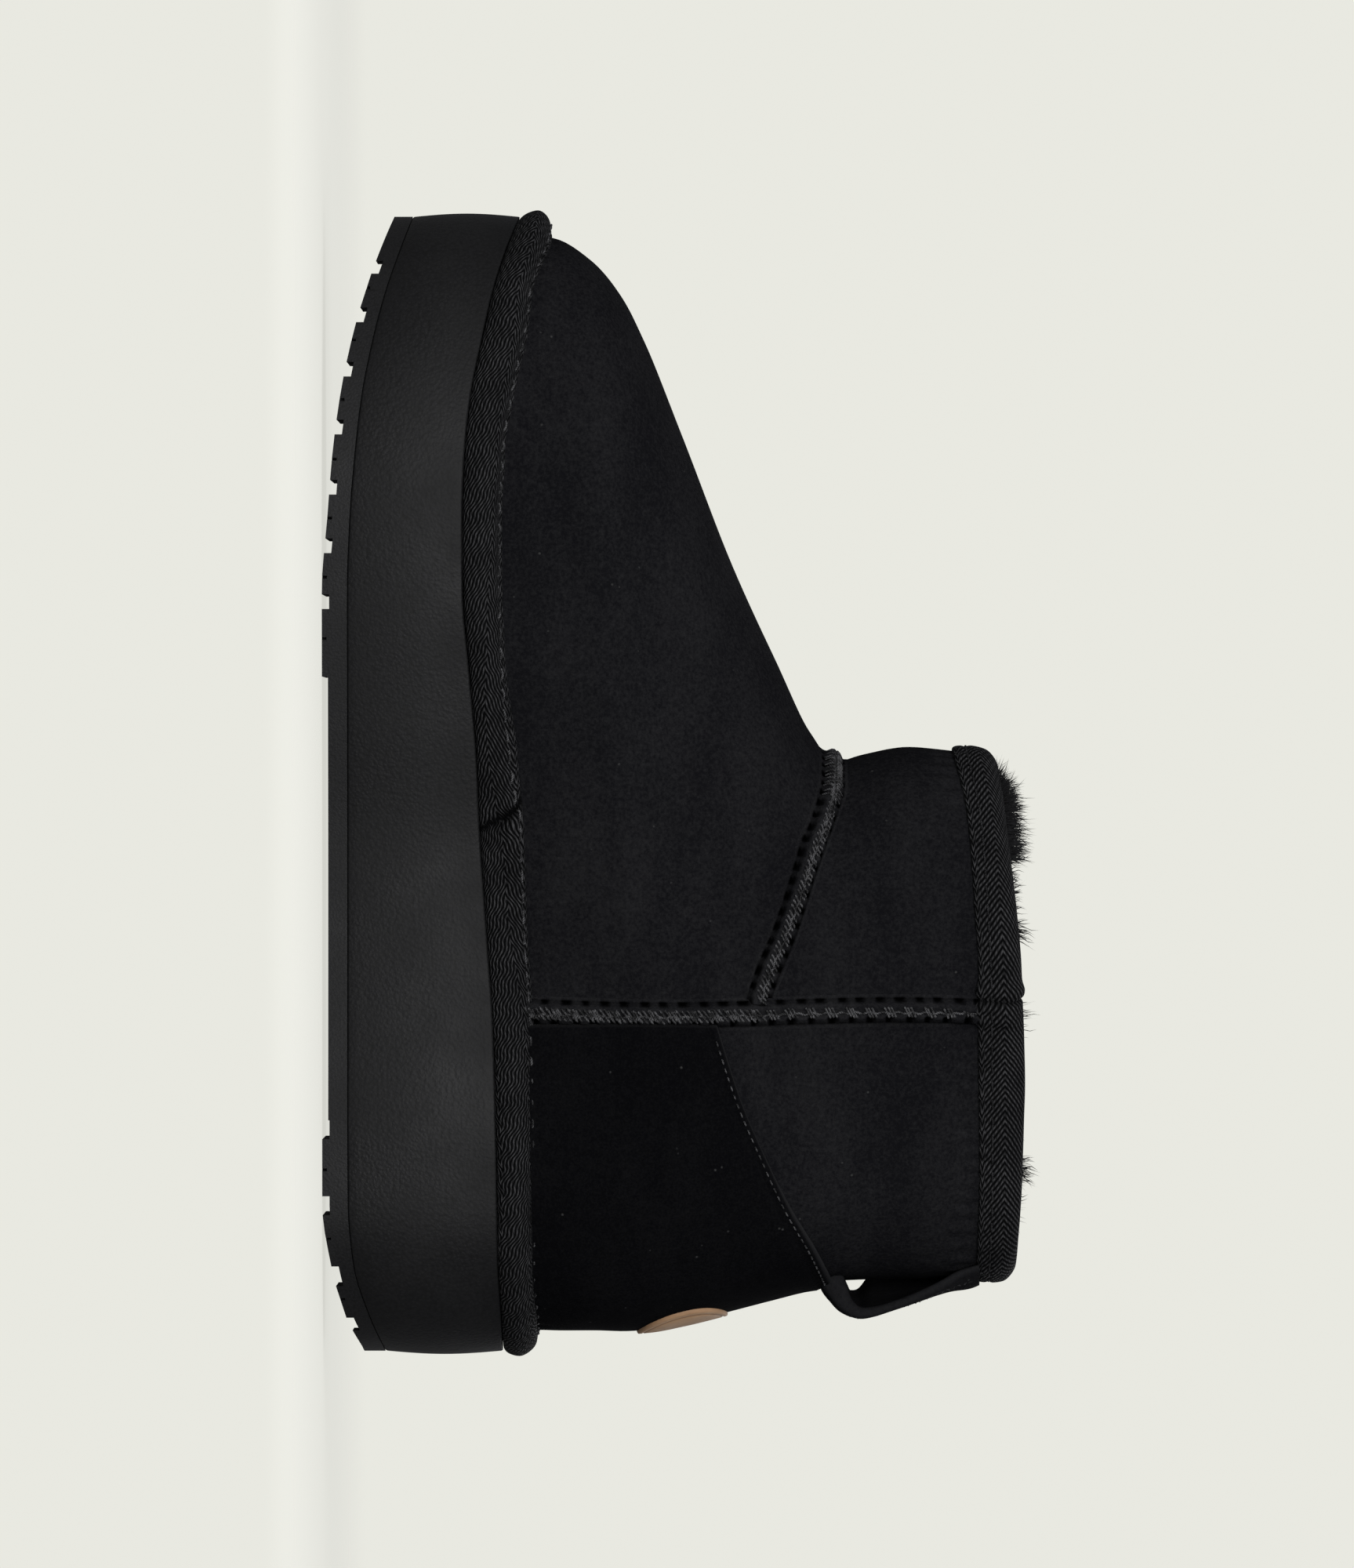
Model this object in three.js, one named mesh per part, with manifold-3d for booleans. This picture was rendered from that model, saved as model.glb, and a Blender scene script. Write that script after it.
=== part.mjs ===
// Sheepskin ankle boot for the right foot, standing empty on a thick platform sole.
// Millimetres. +X points to the toe, +Y to the inner side of the foot, +Z up.
// The origin is on the floor, under the middle of the boot.
import * as THREE from "three";
import { mergeVertices } from "three/addons/utils/BufferGeometryUtils.js";
import Module from "manifold-3d";

const wasm = await Module();
wasm.setup();

// ---------------------------------------------------------------------------
// Driving sizes
const LENGTH = 268; // over the welt binding, heel to toe
const WALL = 10; // suede and the deep fur behind it
const RIM_WALL = 5.6; // the same, pressed flat under the collar binding
const GAP = 0.35; // between pieces that touch
const SOLE_INSET = 1.4; // sole wall behind the binding's bulge
const CENTRE_AT_HEEL = 0.8; // sideways place of the centre line
const CENTRE_AT_TOE = 8;

const ARCH_LIFT = 1.4; // plain sole edge of the arch, above the floor
const ARCH_BACK = -80.5;
const ARCH_FRONT = 25;
const HEEL_BREAST = 4.4; // length of the step from the heel's last lug to the arch
const LUG_DEPTH = 1.7;
const CHANNEL_WIDTH = 7; // between the lugs of the two sides

const INSOLE_THICK = 5.5;
const INSOLE_CLEAR = 1.8; // between insole and fur
const COUNTER_THICK = 1.5;
const COUNTER_FRONT_X = -57.2;
const SIDE_SEAM_X = -53.2;
const SEAM_WIDTH = 4.8;
const SEAM_HEIGHT = 2.9;
const SEAM_GAP = GAP + 0.15;
const SEAM_ABOVE_WELT = 0.7;
const SEAM_BELOW_COLLAR = 0.4;
const SEAM_APART = 1; // throat seam's ends from the side seams
const THROAT_FRONT_X = 6.3;
const TAPE_THICK = 1.3;
const COLLAR_BOW = 0.4; // how far the collar binding bows out between its edges
const TAPE_INSIDE = 0.5; // collar binding's inner leg, in rings below the rim
const LOOP_WIDTH = 22;
const LOOP_THICK = 2.2;
const LOOP_CENTRE_Y = -5;
const BADGE_WIDTH = 31;
const BADGE_HEIGHT = 21;
const BADGE_CENTRE_Z = 83.5;
const BADGE_THICK = 0.7;

// Steps of the facets: counts around, and millimetres along the sole.
const STEPS_AROUND = 56;
const WELT_STEPS = 64;
const SOLE_STEPS = 84;
const OUTSOLE_STEP = 7;
const MIDSOLE_STEP = 8;
const INSOLE_STEP = 10;
const GROOVE_STEP = 20;

// Blocks that the sole's pieces are cut from reach past the boot on every side.
const END_X = 150;
const BLOCK_WIDTH = 200;
const BLOCK_FLOOR = -10;
const BLOCK_HEIGHT = 80;

// ---------------------------------------------------------------------------
// Tables

// Outline of the binding from above. The angle runs from the heel, 0 degrees, to the toe, 180,
// and each side's breadth times the sine of the angle is its distance from the centre line.
const PLAN = [
  { angle: 0, inner: 84, outer: 86 },
  { angle: 23, inner: 72.5, outer: 72.5 },
  { angle: 37, inner: 64, outer: 64 },
  { angle: 50, inner: 53, outer: 59.5 },
  { angle: 69, inner: 41.5, outer: 54.5 },
  { angle: 83, inner: 38.5, outer: 55 },
  { angle: 96, inner: 43, outer: 57.5 },
  { angle: 109, inner: 49.5, outer: 62.5 },
  { angle: 125, inner: 57.5, outer: 65.5 },
  { angle: 149, inner: 65, outer: 69.5 },
  { angle: 180, inner: 69, outer: 73 },
];

// Heights along the sole: the tread, the joint of outsole and midsole, the midsole's top, which
// is the binding's lower edge, and the binding's upper edge.
const SOLE = [
  { x: -134, tread: 10.5, joint: 15, top: 42, tape: 50.6 },
  { x: -124, tread: 5.3, joint: 10.6, top: 41.5, tape: 50 },
  { x: -112, tread: 2, joint: 7, top: 40.8, tape: 49 },
  { x: -98, tread: 0, joint: 5.8, top: 40.6, tape: 49 },
  { x: -78, tread: 0, joint: 5.7, top: 40.3, tape: 49 },
  { x: -55, tread: 0, joint: 5.7, top: 39.6, tape: 48.5 },
  { x: -36, tread: 0, joint: 5.7, top: 38.3, tape: 47.3 },
  { x: -11, tread: 0, joint: 5.7, top: 36.6, tape: 46.4 },
  { x: 7, tread: 0, joint: 5.7, top: 35.8, tape: 44.9 },
  { x: 25, tread: 0, joint: 5.7, top: 34.3, tape: 42.6 },
  { x: 45, tread: 0, joint: 5.7, top: 32.7, tape: 41.4 },
  { x: 62, tread: 1.3, joint: 6.3, top: 32.6, tape: 41.3 },
  { x: 76, tread: 2.4, joint: 7.4, top: 33.1, tape: 41.9 },
  { x: 90, tread: 4.2, joint: 9, top: 34.5, tape: 43.9 },
  { x: 103, tread: 6.8, joint: 11.5, top: 37, tape: 46.9 },
  { x: 115, tread: 10.1, joint: 14.6, top: 39.7, tape: 48.6 },
  { x: 125, tread: 13.6, joint: 18, top: 42.8, tape: 52.2 },
  { x: 134, tread: 17.2, joint: 21.3, top: 46.6, tape: 54.4 },
];

// Grooves between the main lugs, by place and width.
const GROOVES = [
  { x: -126, width: 3 },
  { x: -114.7, width: 4.6 },
  { x: -98.2, width: 4.4 },
  { x: 42.4, width: 3.4 },
  { x: 55.4, width: 3.4 },
  { x: 69, width: 3.4 },
  { x: 83, width: 3.4 },
  { x: 96.5, width: 3.4 },
  { x: 109.2, width: 3.4 },
  { x: 120.4, width: 3 },
];

// Channels along the middle of the tread, split between heel and forefoot by the arch.
const CHANNELS = [
  { from: -124, to: ARCH_BACK, centreY: 1.5 },
  { from: ARCH_FRONT, to: 116, centreY: 2 },
];

// Section of the welt binding's bulge, from the top down: set in from its fullest line, the
// share of the height between the midsole's top and the binding's upper edge, and the least
// distance outside the suede, which bulges over the waist of the sole.
const WELT_BULGE = [
  { inset: 3.3, share: 0.93, cover: TAPE_THICK + 0.5 },
  { inset: 1.3, share: 0.74, cover: TAPE_THICK + 1.3 },
  { inset: 0, share: 0.45, cover: TAPE_THICK + 1.3 },
  { inset: 0.5, share: 0.15, cover: TAPE_THICK + 0.5 },
  { inset: 1.6, share: 0, cover: TAPE_THICK },
];

// Section of the collar binding's roll over the rim: outside the suede, and above the rim.
const COLLAR_ROLL = [
  { out: GAP + TAPE_THICK, rise: 0 },
  { out: -0.4, rise: TAPE_THICK + 0.9 },
  { out: -RIM_WALL / 2, rise: TAPE_THICK + 1.6 },
  { out: -RIM_WALL + 0.4, rise: TAPE_THICK + 0.9 },
  { out: -RIM_WALL - GAP - TAPE_THICK, rise: 0 },
];

// Section of a raised seam: its shares of the width and of the height.
const SEAM_SECTION = [
  { across: 0, up: 0 },
  { across: 0, up: 0.62 },
  { across: 0.28, up: 1 },
  { across: 0.72, up: 1 },
  { across: 1, up: 0.62 },
  { across: 1, up: 0 },
];

// The upper is built from rings, each going round from the back of the heel to the front and
// home again. Rings 0 and 1 follow the sole: they are at the binding's lower and upper edge.
// The others are nearly level. Rise lifts a ring's middle above the line from back to front.
const RINGS = [
  { name: "foot", backX: -127.2, frontX: 128.4 },
  { name: "tape", backX: -126.1, frontX: 127.9 },
  { name: "toe", backX: -126, backZ: 63, frontX: 122.4, frontZ: 62.5, rise: 0 },
  { name: "toecap", backX: -126.2, backZ: 70, frontX: 113.8, frontZ: 69.7, rise: 0 },
  { name: "vamp", backX: -125.8, backZ: 76, frontX: 102.9, frontZ: 75.2, rise: 0 },
  { name: "ball", backX: -124.2, backZ: 84.5, frontX: 80.5, frontZ: 84, rise: 0 },
  { name: "instep", backX: -121.7, backZ: 94.5, frontX: 51.1, frontZ: 95.6, rise: 0 },
  { name: "highInstep", backX: -119, backZ: 105, frontX: 28.9, frontZ: 105.8, rise: 0 },
  { name: "underThroat", backX: -117, backZ: 113.5, frontX: 12.2, frontZ: 113.8, rise: 0 },
  { name: "throat", backX: -116.3, backZ: 120.5, frontX: 5.4, frontZ: 119.8, rise: 0 },
  { name: "ankle", backX: -116, backZ: 128, frontX: 7, frontZ: 126.4, rise: 0.5 },
  { name: "shaft", backX: -115.9, backZ: 138, frontX: 8.7, frontZ: 136.5, rise: 1.2 },
  { name: "underCollar", backX: -115.6, backZ: 149, frontX: 8, frontZ: 146, rise: 2.4 },
  { name: "collar", backX: -114.3, backZ: 159.2, frontX: 6.1, frontZ: 155, rise: 3.5 },
];

// Breadths of the upper's rings at every 36 degrees from heel to toe, for the inner and the
// outer side, and the sideways place of their back and front ends.
const GIRTHS = [
  { ring: "foot", side: "inner", back: 0.8, front: 8, at: [77, 57.5, 34.7, 42.8, 57, 62] },
  { ring: "foot", side: "outer", back: 0.8, front: 8, at: [79, 57.5, 48.8, 56.4, 62.5, 66] },
  { ring: "toe", side: "inner", back: 0.5, front: 7.6, at: [74, 56, 38.6, 42, 53, 67] },
  { ring: "toe", side: "outer", back: 0.5, front: 7.6, at: [76, 56.5, 49.8, 55.5, 59.5, 70] },
  { ring: "ball", side: "inner", back: -1.5, front: 4, at: [69, 54.5, 39.6, 35.6, 42.6, 49] },
  { ring: "ball", side: "outer", back: -1.5, front: 4, at: [69, 52.7, 49, 45, 47.3, 50] },
  { ring: "highInstep", side: "inner", back: -3.5, front: -1.2, at: [58, 49.5, 38.7, 38, 37.2, 40] },
  { ring: "highInstep", side: "outer", back: -3.5, front: -1.2, at: [57, 46, 44.6, 41.8, 38.6, 40] },
  { ring: "throat", side: "inner", back: -4.7, front: -2.8, at: [51, 46.5, 37.2, 39.3, 39, 38] },
  { ring: "throat", side: "outer", back: -4.7, front: -2.8, at: [50, 43, 43, 40.2, 39, 38] },
  { ring: "shaft", side: "inner", back: -5.5, front: -3.2, at: [43, 40.5, 34.7, 38.4, 38.6, 37] },
  { ring: "shaft", side: "outer", back: -5.5, front: -3.2, at: [44, 40.5, 41.7, 38.4, 38, 37] },
  { ring: "collar", side: "inner", back: -6, front: -3.5, at: [31, 30, 28, 35.4, 32.5, 33.5] },
  { ring: "collar", side: "outer", back: -6, front: -3.5, at: [32, 34, 36.8, 33.5, 33, 33.5] },
];

// Heel counter's upper edge, from its front to the back of the heel.
const COUNTER_EDGE = [
  { x: -119, z: 117 },
  { x: -108.5, z: 114.4 },
  { x: -98.6, z: 109 },
  { x: -86.5, z: 103 },
  { x: -75, z: 98 },
  { x: -56.5, z: 92 },
];

// Throat seam, from the side seams up to the front.
const THROAT = [
  { x: -50, z: 102 },
  { x: -44.3, z: 104 },
  { x: -36.4, z: 107.3 },
  { x: -26, z: 111.2 },
  { x: -15.3, z: 114.8 },
  { x: -7.4, z: 117.8 },
  { x: 0.5, z: 119.4 },
  { x: 7, z: 119.4 },
];

// Lower edge of the collar binding.
const COLLAR_EDGE = [
  { x: -117, z: 152.4 },
  { x: -92, z: 153 },
  { x: -47, z: 152.8 },
  { x: -26, z: 151.7 },
  { x: -10, z: 150.4 },
  { x: 8, z: 146.6 },
];

// Middle line of the pull loop's strap, seen from the side: out below, then up to the collar.
const LOOP = [
  { z: 119.2, standOff: 1.5 },
  { z: 119.8, standOff: 3.2 },
  { z: 121.6, standOff: 7 },
  { z: 124.6, standOff: 9.2 },
  { z: 128.4, standOff: 9.3 },
  { z: 133, standOff: 8.1 },
  { z: 138, standOff: 6.6 },
  { z: 143, standOff: 4.7 },
  { z: 147.5, standOff: 2.8 },
  { z: 151.4, standOff: 1.6 },
];

// ---------------------------------------------------------------------------
// Curves through tables

// Cubic between p1 and p2 that never overshoots its neighbours.
function between(p0, p1, p2, p3, u) {
  const slope = (a, b) => (a * b > 0 ? (2 * a * b) / (a + b) : 0);
  const m1 = slope(p1 - p0, p2 - p1);
  const m2 = slope(p2 - p1, p3 - p2);
  const u2 = u * u;
  const u3 = u2 * u;
  return p1 * (2 * u3 - 3 * u2 + 1) + m1 * (u3 - 2 * u2 + u) + p2 * (3 * u2 - 2 * u3) + m2 * (u3 - u2);
}

// A smooth function through a table's rows, by the names of its two columns.
function through(rows, key, value) {
  const sorted = [...rows].sort((a, b) => a[key] - b[key]);
  const xs = sorted.map((row) => row[key]);
  const ys = sorted.map((row) => row[value]);
  const steps = xs.slice(1).map((x, i) => (ys[i + 1] - ys[i]) / (x - xs[i]));
  const slopes = xs.map((x, i) => {
    const before = steps[Math.max(i - 1, 0)];
    const after = steps[Math.min(i, steps.length - 1)];
    return before * after > 0 ? (2 * before * after) / (before + after) : 0;
  });
  return (x) => {
    const inside = Math.min(Math.max(x, xs[0]), xs[xs.length - 1]);
    const i = Math.min(Math.max(xs.findIndex((v) => v >= inside) - 1, 0), xs.length - 2);
    const h = xs[i + 1] - xs[i];
    const u = (inside - xs[i]) / h;
    const u2 = u * u;
    const u3 = u2 * u;
    return (
      ys[i] * (2 * u3 - 3 * u2 + 1) +
      slopes[i] * h * (u3 - 2 * u2 + u) +
      ys[i + 1] * (3 * u2 - 2 * u3) +
      slopes[i + 1] * h * (u3 - u2)
    );
  };
}

const treadAt = through(SOLE, "x", "tread");
const jointAt = through(SOLE, "x", "joint");
const topAt = through(SOLE, "x", "top");
const tapeAt = through(SOLE, "x", "tape");
const planInner = through(PLAN, "angle", "inner");
const planOuter = through(PLAN, "angle", "outer");
const counterEdgeAt = through(COUNTER_EDGE, "x", "z");
const throatAt = through(THROAT, "x", "z");
const collarEdgeAt = through(COLLAR_EDGE, "x", "z");

// ---------------------------------------------------------------------------
// Outline of the sole, set in from the binding's bulge

function planPoint(turn, inset) {
  const raw = (t) => {
    const share = (1 - Math.cos(2 * Math.PI * t)) / 2;
    const sine = Math.sin(2 * Math.PI * t);
    const degrees = (Math.acos(1 - 2 * share) * 180) / Math.PI;
    const breadth = sine >= 0 ? planInner(degrees) : planOuter(degrees);
    const centre = CENTRE_AT_HEEL + (CENTRE_AT_TOE - CENTRE_AT_HEEL) * share;
    return new THREE.Vector2(LENGTH * (share - 0.5), centre + sine * breadth);
  };
  const step = 1e-3;
  const along = raw(turn + step).sub(raw(turn - step)).normalize();
  return raw(turn).add(new THREE.Vector2(along.y, -along.x).multiplyScalar(inset));
}

// ---------------------------------------------------------------------------
// The upper's own surface: turn 0 to 1 goes round from the heel past the inner side, level 0 to
// 13 goes up through the rings, and out is the distance outside the suede.

const TOP_LEVEL = RINGS.length - 1;
const ringLevel = (name) => RINGS.findIndex((ring) => ring.name === name);

function girthTable(side) {
  const rows = GIRTHS.filter((row) => row.side === side);
  const columns = ["back", "front"].map((key) =>
    through(rows.map((row) => ({ level: ringLevel(row.ring), value: row[key] })), "level", "value"),
  );
  const stations = rows[0].at.map((_, i) =>
    through(rows.map((row) => ({ level: ringLevel(row.ring), value: row.at[i] })), "level", "value"),
  );
  return { back: columns[0], front: columns[1], stations };
}

const GIRTH = { inner: girthTable("inner"), outer: girthTable("outer") };

function ringPoint(level, turn) {
  const ring = RINGS[Math.min(Math.max(level, 0), TOP_LEVEL)];
  const place = Math.min(Math.max(level, 0), TOP_LEVEL);
  const share = (1 - Math.cos(2 * Math.PI * turn)) / 2;
  const sine = Math.sin(2 * Math.PI * turn);
  const girth = sine >= 0 ? GIRTH.inner : GIRTH.outer;
  const last = girth.stations.length - 1;
  const station = (Math.acos(1 - 2 * share) / Math.PI) * last;
  const i = Math.min(Math.floor(station), last - 1);
  const breadthAt = (k) => girth.stations[Math.min(Math.max(k, 0), last)](place);
  const breadth = between(
    breadthAt(i - 1), breadthAt(i), breadthAt(i + 1), breadthAt(i + 2), station - i,
  );
  const x = ring.backX + (ring.frontX - ring.backX) * share;
  const centre = girth.back(place) + (girth.front(place) - girth.back(place)) * share;
  let z = topAt(x) + GAP;
  if (level === 1) z = tapeAt(x);
  if (level > 1) {
    z = ring.backZ + (ring.frontZ - ring.backZ) * share + ring.rise * sine * sine;
  }
  return new THREE.Vector3(x, centre + sine * breadth, z);
}

function skin(turn, level) {
  const i = Math.min(Math.max(Math.floor(level), 0), TOP_LEVEL - 1);
  const points = [i - 1, i, i + 1, i + 2].map((k) => {
    if (k < 0) return ringPoint(0, turn).multiplyScalar(2).sub(ringPoint(1, turn));
    if (k > TOP_LEVEL) {
      return ringPoint(TOP_LEVEL, turn).multiplyScalar(2).sub(ringPoint(TOP_LEVEL - 1, turn));
    }
    return ringPoint(k, turn);
  });
  const [x, y, z] = ["x", "y", "z"].map((axis) =>
    between(...points.map((point) => point[axis]), level - i),
  );
  return new THREE.Vector3(x, y, z);
}

function skinNormal(turn, level) {
  const step = 2e-3;
  const low = Math.max(level - step * 10, 0);
  const high = Math.min(level + step * 10, TOP_LEVEL);
  const along = skin(turn + step, level).sub(skin(turn - step, level));
  const up = skin(turn, high).sub(skin(turn, low));
  return up.cross(along).normalize();
}

function upper(turn, level, out) {
  const normal = skinNormal(turn, level);
  const toEdge = Math.min(level, TOP_LEVEL - level);
  normal.z *= Math.min(toEdge, 1);
  return skin(turn, level).add(normal.normalize().multiplyScalar(out));
}

// Thickness of the wall, which the collar binding presses flat.
function wallAt(level) {
  const pressed = Math.min(Math.max(level - TOP_LEVEL + 2, 0) / 2, 1);
  return WALL + (RIM_WALL - WALL) * pressed;
}

// Level where the skin reaches a height.
function levelAt(turn, z) {
  let low = 0;
  let high = TOP_LEVEL;
  for (let i = 0; i < 30; i++) {
    const middle = (low + high) / 2;
    if (skin(turn, middle).z < z) low = middle;
    else high = middle;
  }
  return (low + high) / 2;
}

// Turn, on the inner side, where the skin at a height reaches x. The outer side is 1 minus it.
function turnAt(x, z, side) {
  let low = 0;
  let high = 0.5;
  const place = (turn) => (side === "inner" ? turn : 1 - turn);
  for (let i = 0; i < 26; i++) {
    const middle = (low + high) / 2;
    if (skin(place(middle), levelAt(place(middle), z)).x < x) low = middle;
    else high = middle;
  }
  return place((low + high) / 2);
}

// Place of the skin at the back of the heel, by sideways place and height.
function heelX(y, z) {
  let low = -0.15;
  let high = 0.15;
  for (let i = 0; i < 20; i++) {
    const middle = (low + high) / 2;
    if (skin(middle, levelAt(middle, z)).y < y) low = middle;
    else high = middle;
  }
  return skin(low, levelAt(low, z)).x;
}

// ---------------------------------------------------------------------------
// Solids from rings and grids of points

function geometryOf(triangles) {
  const flat = triangles.flat().flatMap((point) => [point.x, point.y, point.z]);
  const loose = new THREE.BufferGeometry();
  loose.setAttribute("position", new THREE.Float32BufferAttribute(flat, 3));
  const merged = mergeVertices(loose, 1e-4);
  const position = merged.getAttribute("position");
  const corner = (i) => new THREE.Vector3().fromBufferAttribute(position, merged.index.array[i]);
  let volume = 0;
  for (let i = 0; i < merged.index.count; i += 3) {
    volume += corner(i).dot(corner(i + 1).cross(corner(i + 2)));
  }
  if (volume < 0) {
    const index = merged.index.array;
    for (let i = 0; i < index.length; i += 3) [index[i], index[i + 1]] = [index[i + 1], index[i]];
  }
  merged.computeVertexNormals();
  return merged;
}

// A closed band: rings that go round, each joined to the next, and the last to the first.
function band(rings) {
  const triangles = [];
  rings.forEach((ring, r) => {
    const next = rings[(r + 1) % rings.length];
    ring.forEach((point, i) => {
      const j = (i + 1) % ring.length;
      triangles.push([point, ring[j], next[j]], [point, next[j], next[i]]);
    });
  });
  return geometryOf(triangles);
}

// A bar: sections along a path, each a closed loop of points. An end is closed by strips between
// the first half of its points, in order, and the second half, from the last one back.
function bar(sections) {
  const triangles = [];
  sections.slice(1).forEach((next, s) => {
    const section = sections[s];
    section.forEach((point, i) => {
      const j = (i + 1) % section.length;
      triangles.push([point, section[j], next[j]], [point, next[j], next[i]]);
    });
  });
  [sections[0], [...sections[sections.length - 1]].reverse()].forEach((end) => {
    for (let i = 0, j = end.length - 1; i + 1 < j; i++, j--) {
      triangles.push([end[i], end[j], end[i + 1]]);
      if (i + 1 < j - 1) triangles.push([end[i + 1], end[j], end[j - 1]]);
    }
  });
  return geometryOf(triangles);
}

// A sheet with thickness: each row of the grid becomes a section of front and back points.
function sheet(front, back) {
  return bar(front.map((row, i) => [...row, ...[...back[i]].reverse()]));
}

// ---------------------------------------------------------------------------
// Booleans

function solidOf(geometry) {
  const bare = geometry.index ? geometry.toNonIndexed() : geometry.clone();
  bare.deleteAttribute("normal");
  bare.deleteAttribute("uv");
  const merged = mergeVertices(bare, 1e-4);
  const mesh = new wasm.Mesh({
    numProp: 3,
    vertProperties: merged.getAttribute("position").array,
    triVerts: new Uint32Array(merged.index.array),
  });
  return new wasm.Manifold(mesh);
}

function geometryFrom(solid) {
  const mesh = solid.getMesh();
  const geometry = new THREE.BufferGeometry();
  geometry.setAttribute("position", new THREE.Float32BufferAttribute(mesh.vertProperties, 3));
  geometry.setIndex(new THREE.BufferAttribute(mesh.triVerts, 1));
  geometry.computeVertexNormals();
  return geometry;
}

// A shape without the points that lie in line between their neighbours.
function shapeOf(points) {
  const bent = points.filter((point, i) => {
    const before = points[(i + points.length - 1) % points.length];
    const after = points[(i + 1) % points.length];
    return Math.abs(point.clone().sub(before).cross(after.clone().sub(point))) > 1e-4;
  });
  return new THREE.Shape(bent);
}

// An outline seen from above, made deep enough to hold the whole sole.
function uprightPrism(points) {
  const options = { depth: BLOCK_HEIGHT, bevelEnabled: false };
  const geometry = new THREE.ExtrudeGeometry(shapeOf(points), options);
  return solidOf(geometry.translate(0, 0, BLOCK_FLOOR));
}

// A profile seen from the side, as wide as given, centred on a line across the boot.
function sideways(points, width, centreY = 0) {
  const options = { depth: width, bevelEnabled: false };
  const geometry = new THREE.ExtrudeGeometry(shapeOf(points), options);
  return solidOf(geometry.rotateX(Math.PI / 2).translate(0, centreY + width / 2, 0));
}

// Profile between two heights that change along the boot.
function profile(lowerPoints, upperAt, from, to, step) {
  const count = Math.ceil((to - from) / step);
  const xs = Array.from({ length: count + 1 }, (_, i) => to - ((to - from) * i) / count);
  return [...lowerPoints, ...xs.map((x) => new THREE.Vector2(x, upperAt(x)))];
}

function along(from, to, step, heightAt) {
  const count = Math.max(1, Math.round((to - from) / step));
  return Array.from({ length: count + 1 }, (_, i) => {
    const x = from + ((to - from) * i) / count;
    return new THREE.Vector2(x, heightAt(x));
  });
}

// ---------------------------------------------------------------------------
// Pieces

const turns = Array.from({ length: STEPS_AROUND }, (_, i) => i / STEPS_AROUND);

function soleOutline(inset) {
  return Array.from({ length: SOLE_STEPS }, (_, i) => planPoint(i / SOLE_STEPS, inset)).reverse();
}

const grooveAt = (x) => treadAt(x) + LUG_DEPTH;

// Underside from heel to toe: lugs with grooves between them, and the plain arch.
function treadLine() {
  const stops = [
    ...GROOVES.map(({ x, width }) => ({ from: x - width / 2, to: x + width / 2, height: grooveAt })),
    { from: ARCH_BACK - HEEL_BREAST / 2, to: ARCH_BACK + HEEL_BREAST / 2, height: grooveAt },
    { from: ARCH_BACK + HEEL_BREAST / 2, to: ARCH_FRONT, height: () => ARCH_LIFT },
  ].sort((a, b) => a.from - b.from);
  const points = [];
  let x = -END_X;
  stops.forEach(({ from, to, height }) => {
    points.push(...along(x, from, OUTSOLE_STEP, treadAt), ...along(from, to, GROOVE_STEP, height));
    x = to;
  });
  points.push(...along(x, END_X, OUTSOLE_STEP, treadAt));
  return points.filter((point, i) => i === 0 || point.distanceTo(points[i - 1]) > 0.05);
}

function makeOutsole() {
  const side = profile(treadLine(), (x) => jointAt(x) - GAP / 2, -END_X, END_X, OUTSOLE_STEP);
  const body = uprightPrism(soleOutline(SOLE_INSET)).intersect(sideways(side, BLOCK_WIDTH));
  const channels = CHANNELS.map(({ from, to, centreY }) => {
    const below = (x) => treadAt(x) - 2 * LUG_DEPTH;
    const floor = along(from, to, OUTSOLE_STEP, below);
    return sideways(profile(floor, grooveAt, from, to, OUTSOLE_STEP), CHANNEL_WIDTH, centreY);
  });
  return geometryFrom(channels.reduce((solid, channel) => solid.subtract(channel), body));
}

function makeMidsole() {
  const floor = along(-END_X, END_X, MIDSOLE_STEP, (x) => jointAt(x) + GAP / 2);
  const side = profile(floor, topAt, -END_X, END_X, MIDSOLE_STEP);
  const block = uprightPrism(soleOutline(SOLE_INSET));
  return geometryFrom(block.intersect(sideways(side, BLOCK_WIDTH)));
}

// Rings and the places between them that the facets of the two faces pass through.
function makeUpper() {
  const outerLevels = [0, 0.5, 1, 1.5, 2, 2.5, 3, 4, 5, 6, 7, 8, 8.5, 9, 9.5, 10, 11, 12, 13];
  const innerLevels = [13, 12.5, 12, 11, 10, 9, 8, 7, 6, 5, 4, 3, 2, 1, 0];
  const outer = outerLevels.map((level) => turns.map((turn) => upper(turn, level, 0)));
  const inner = innerLevels.map((level) => turns.map((turn) => upper(turn, level, -wallAt(level))));
  return band([...outer, ...inner]);
}

function makeInsole() {
  const outline = turns.map((turn) => {
    const point = upper(turn, 0, -WALL - INSOLE_CLEAR);
    return new THREE.Vector2(point.x, point.y);
  });
  const bottom = (x) => topAt(x) + GAP;
  const top = (x) => bottom(x) + INSOLE_THICK;
  const side = profile(along(-END_X, END_X, INSOLE_STEP, bottom), top, -END_X, END_X, INSOLE_STEP);
  return geometryFrom(uprightPrism(outline.reverse()).intersect(sideways(side, BLOCK_WIDTH)));
}

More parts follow.
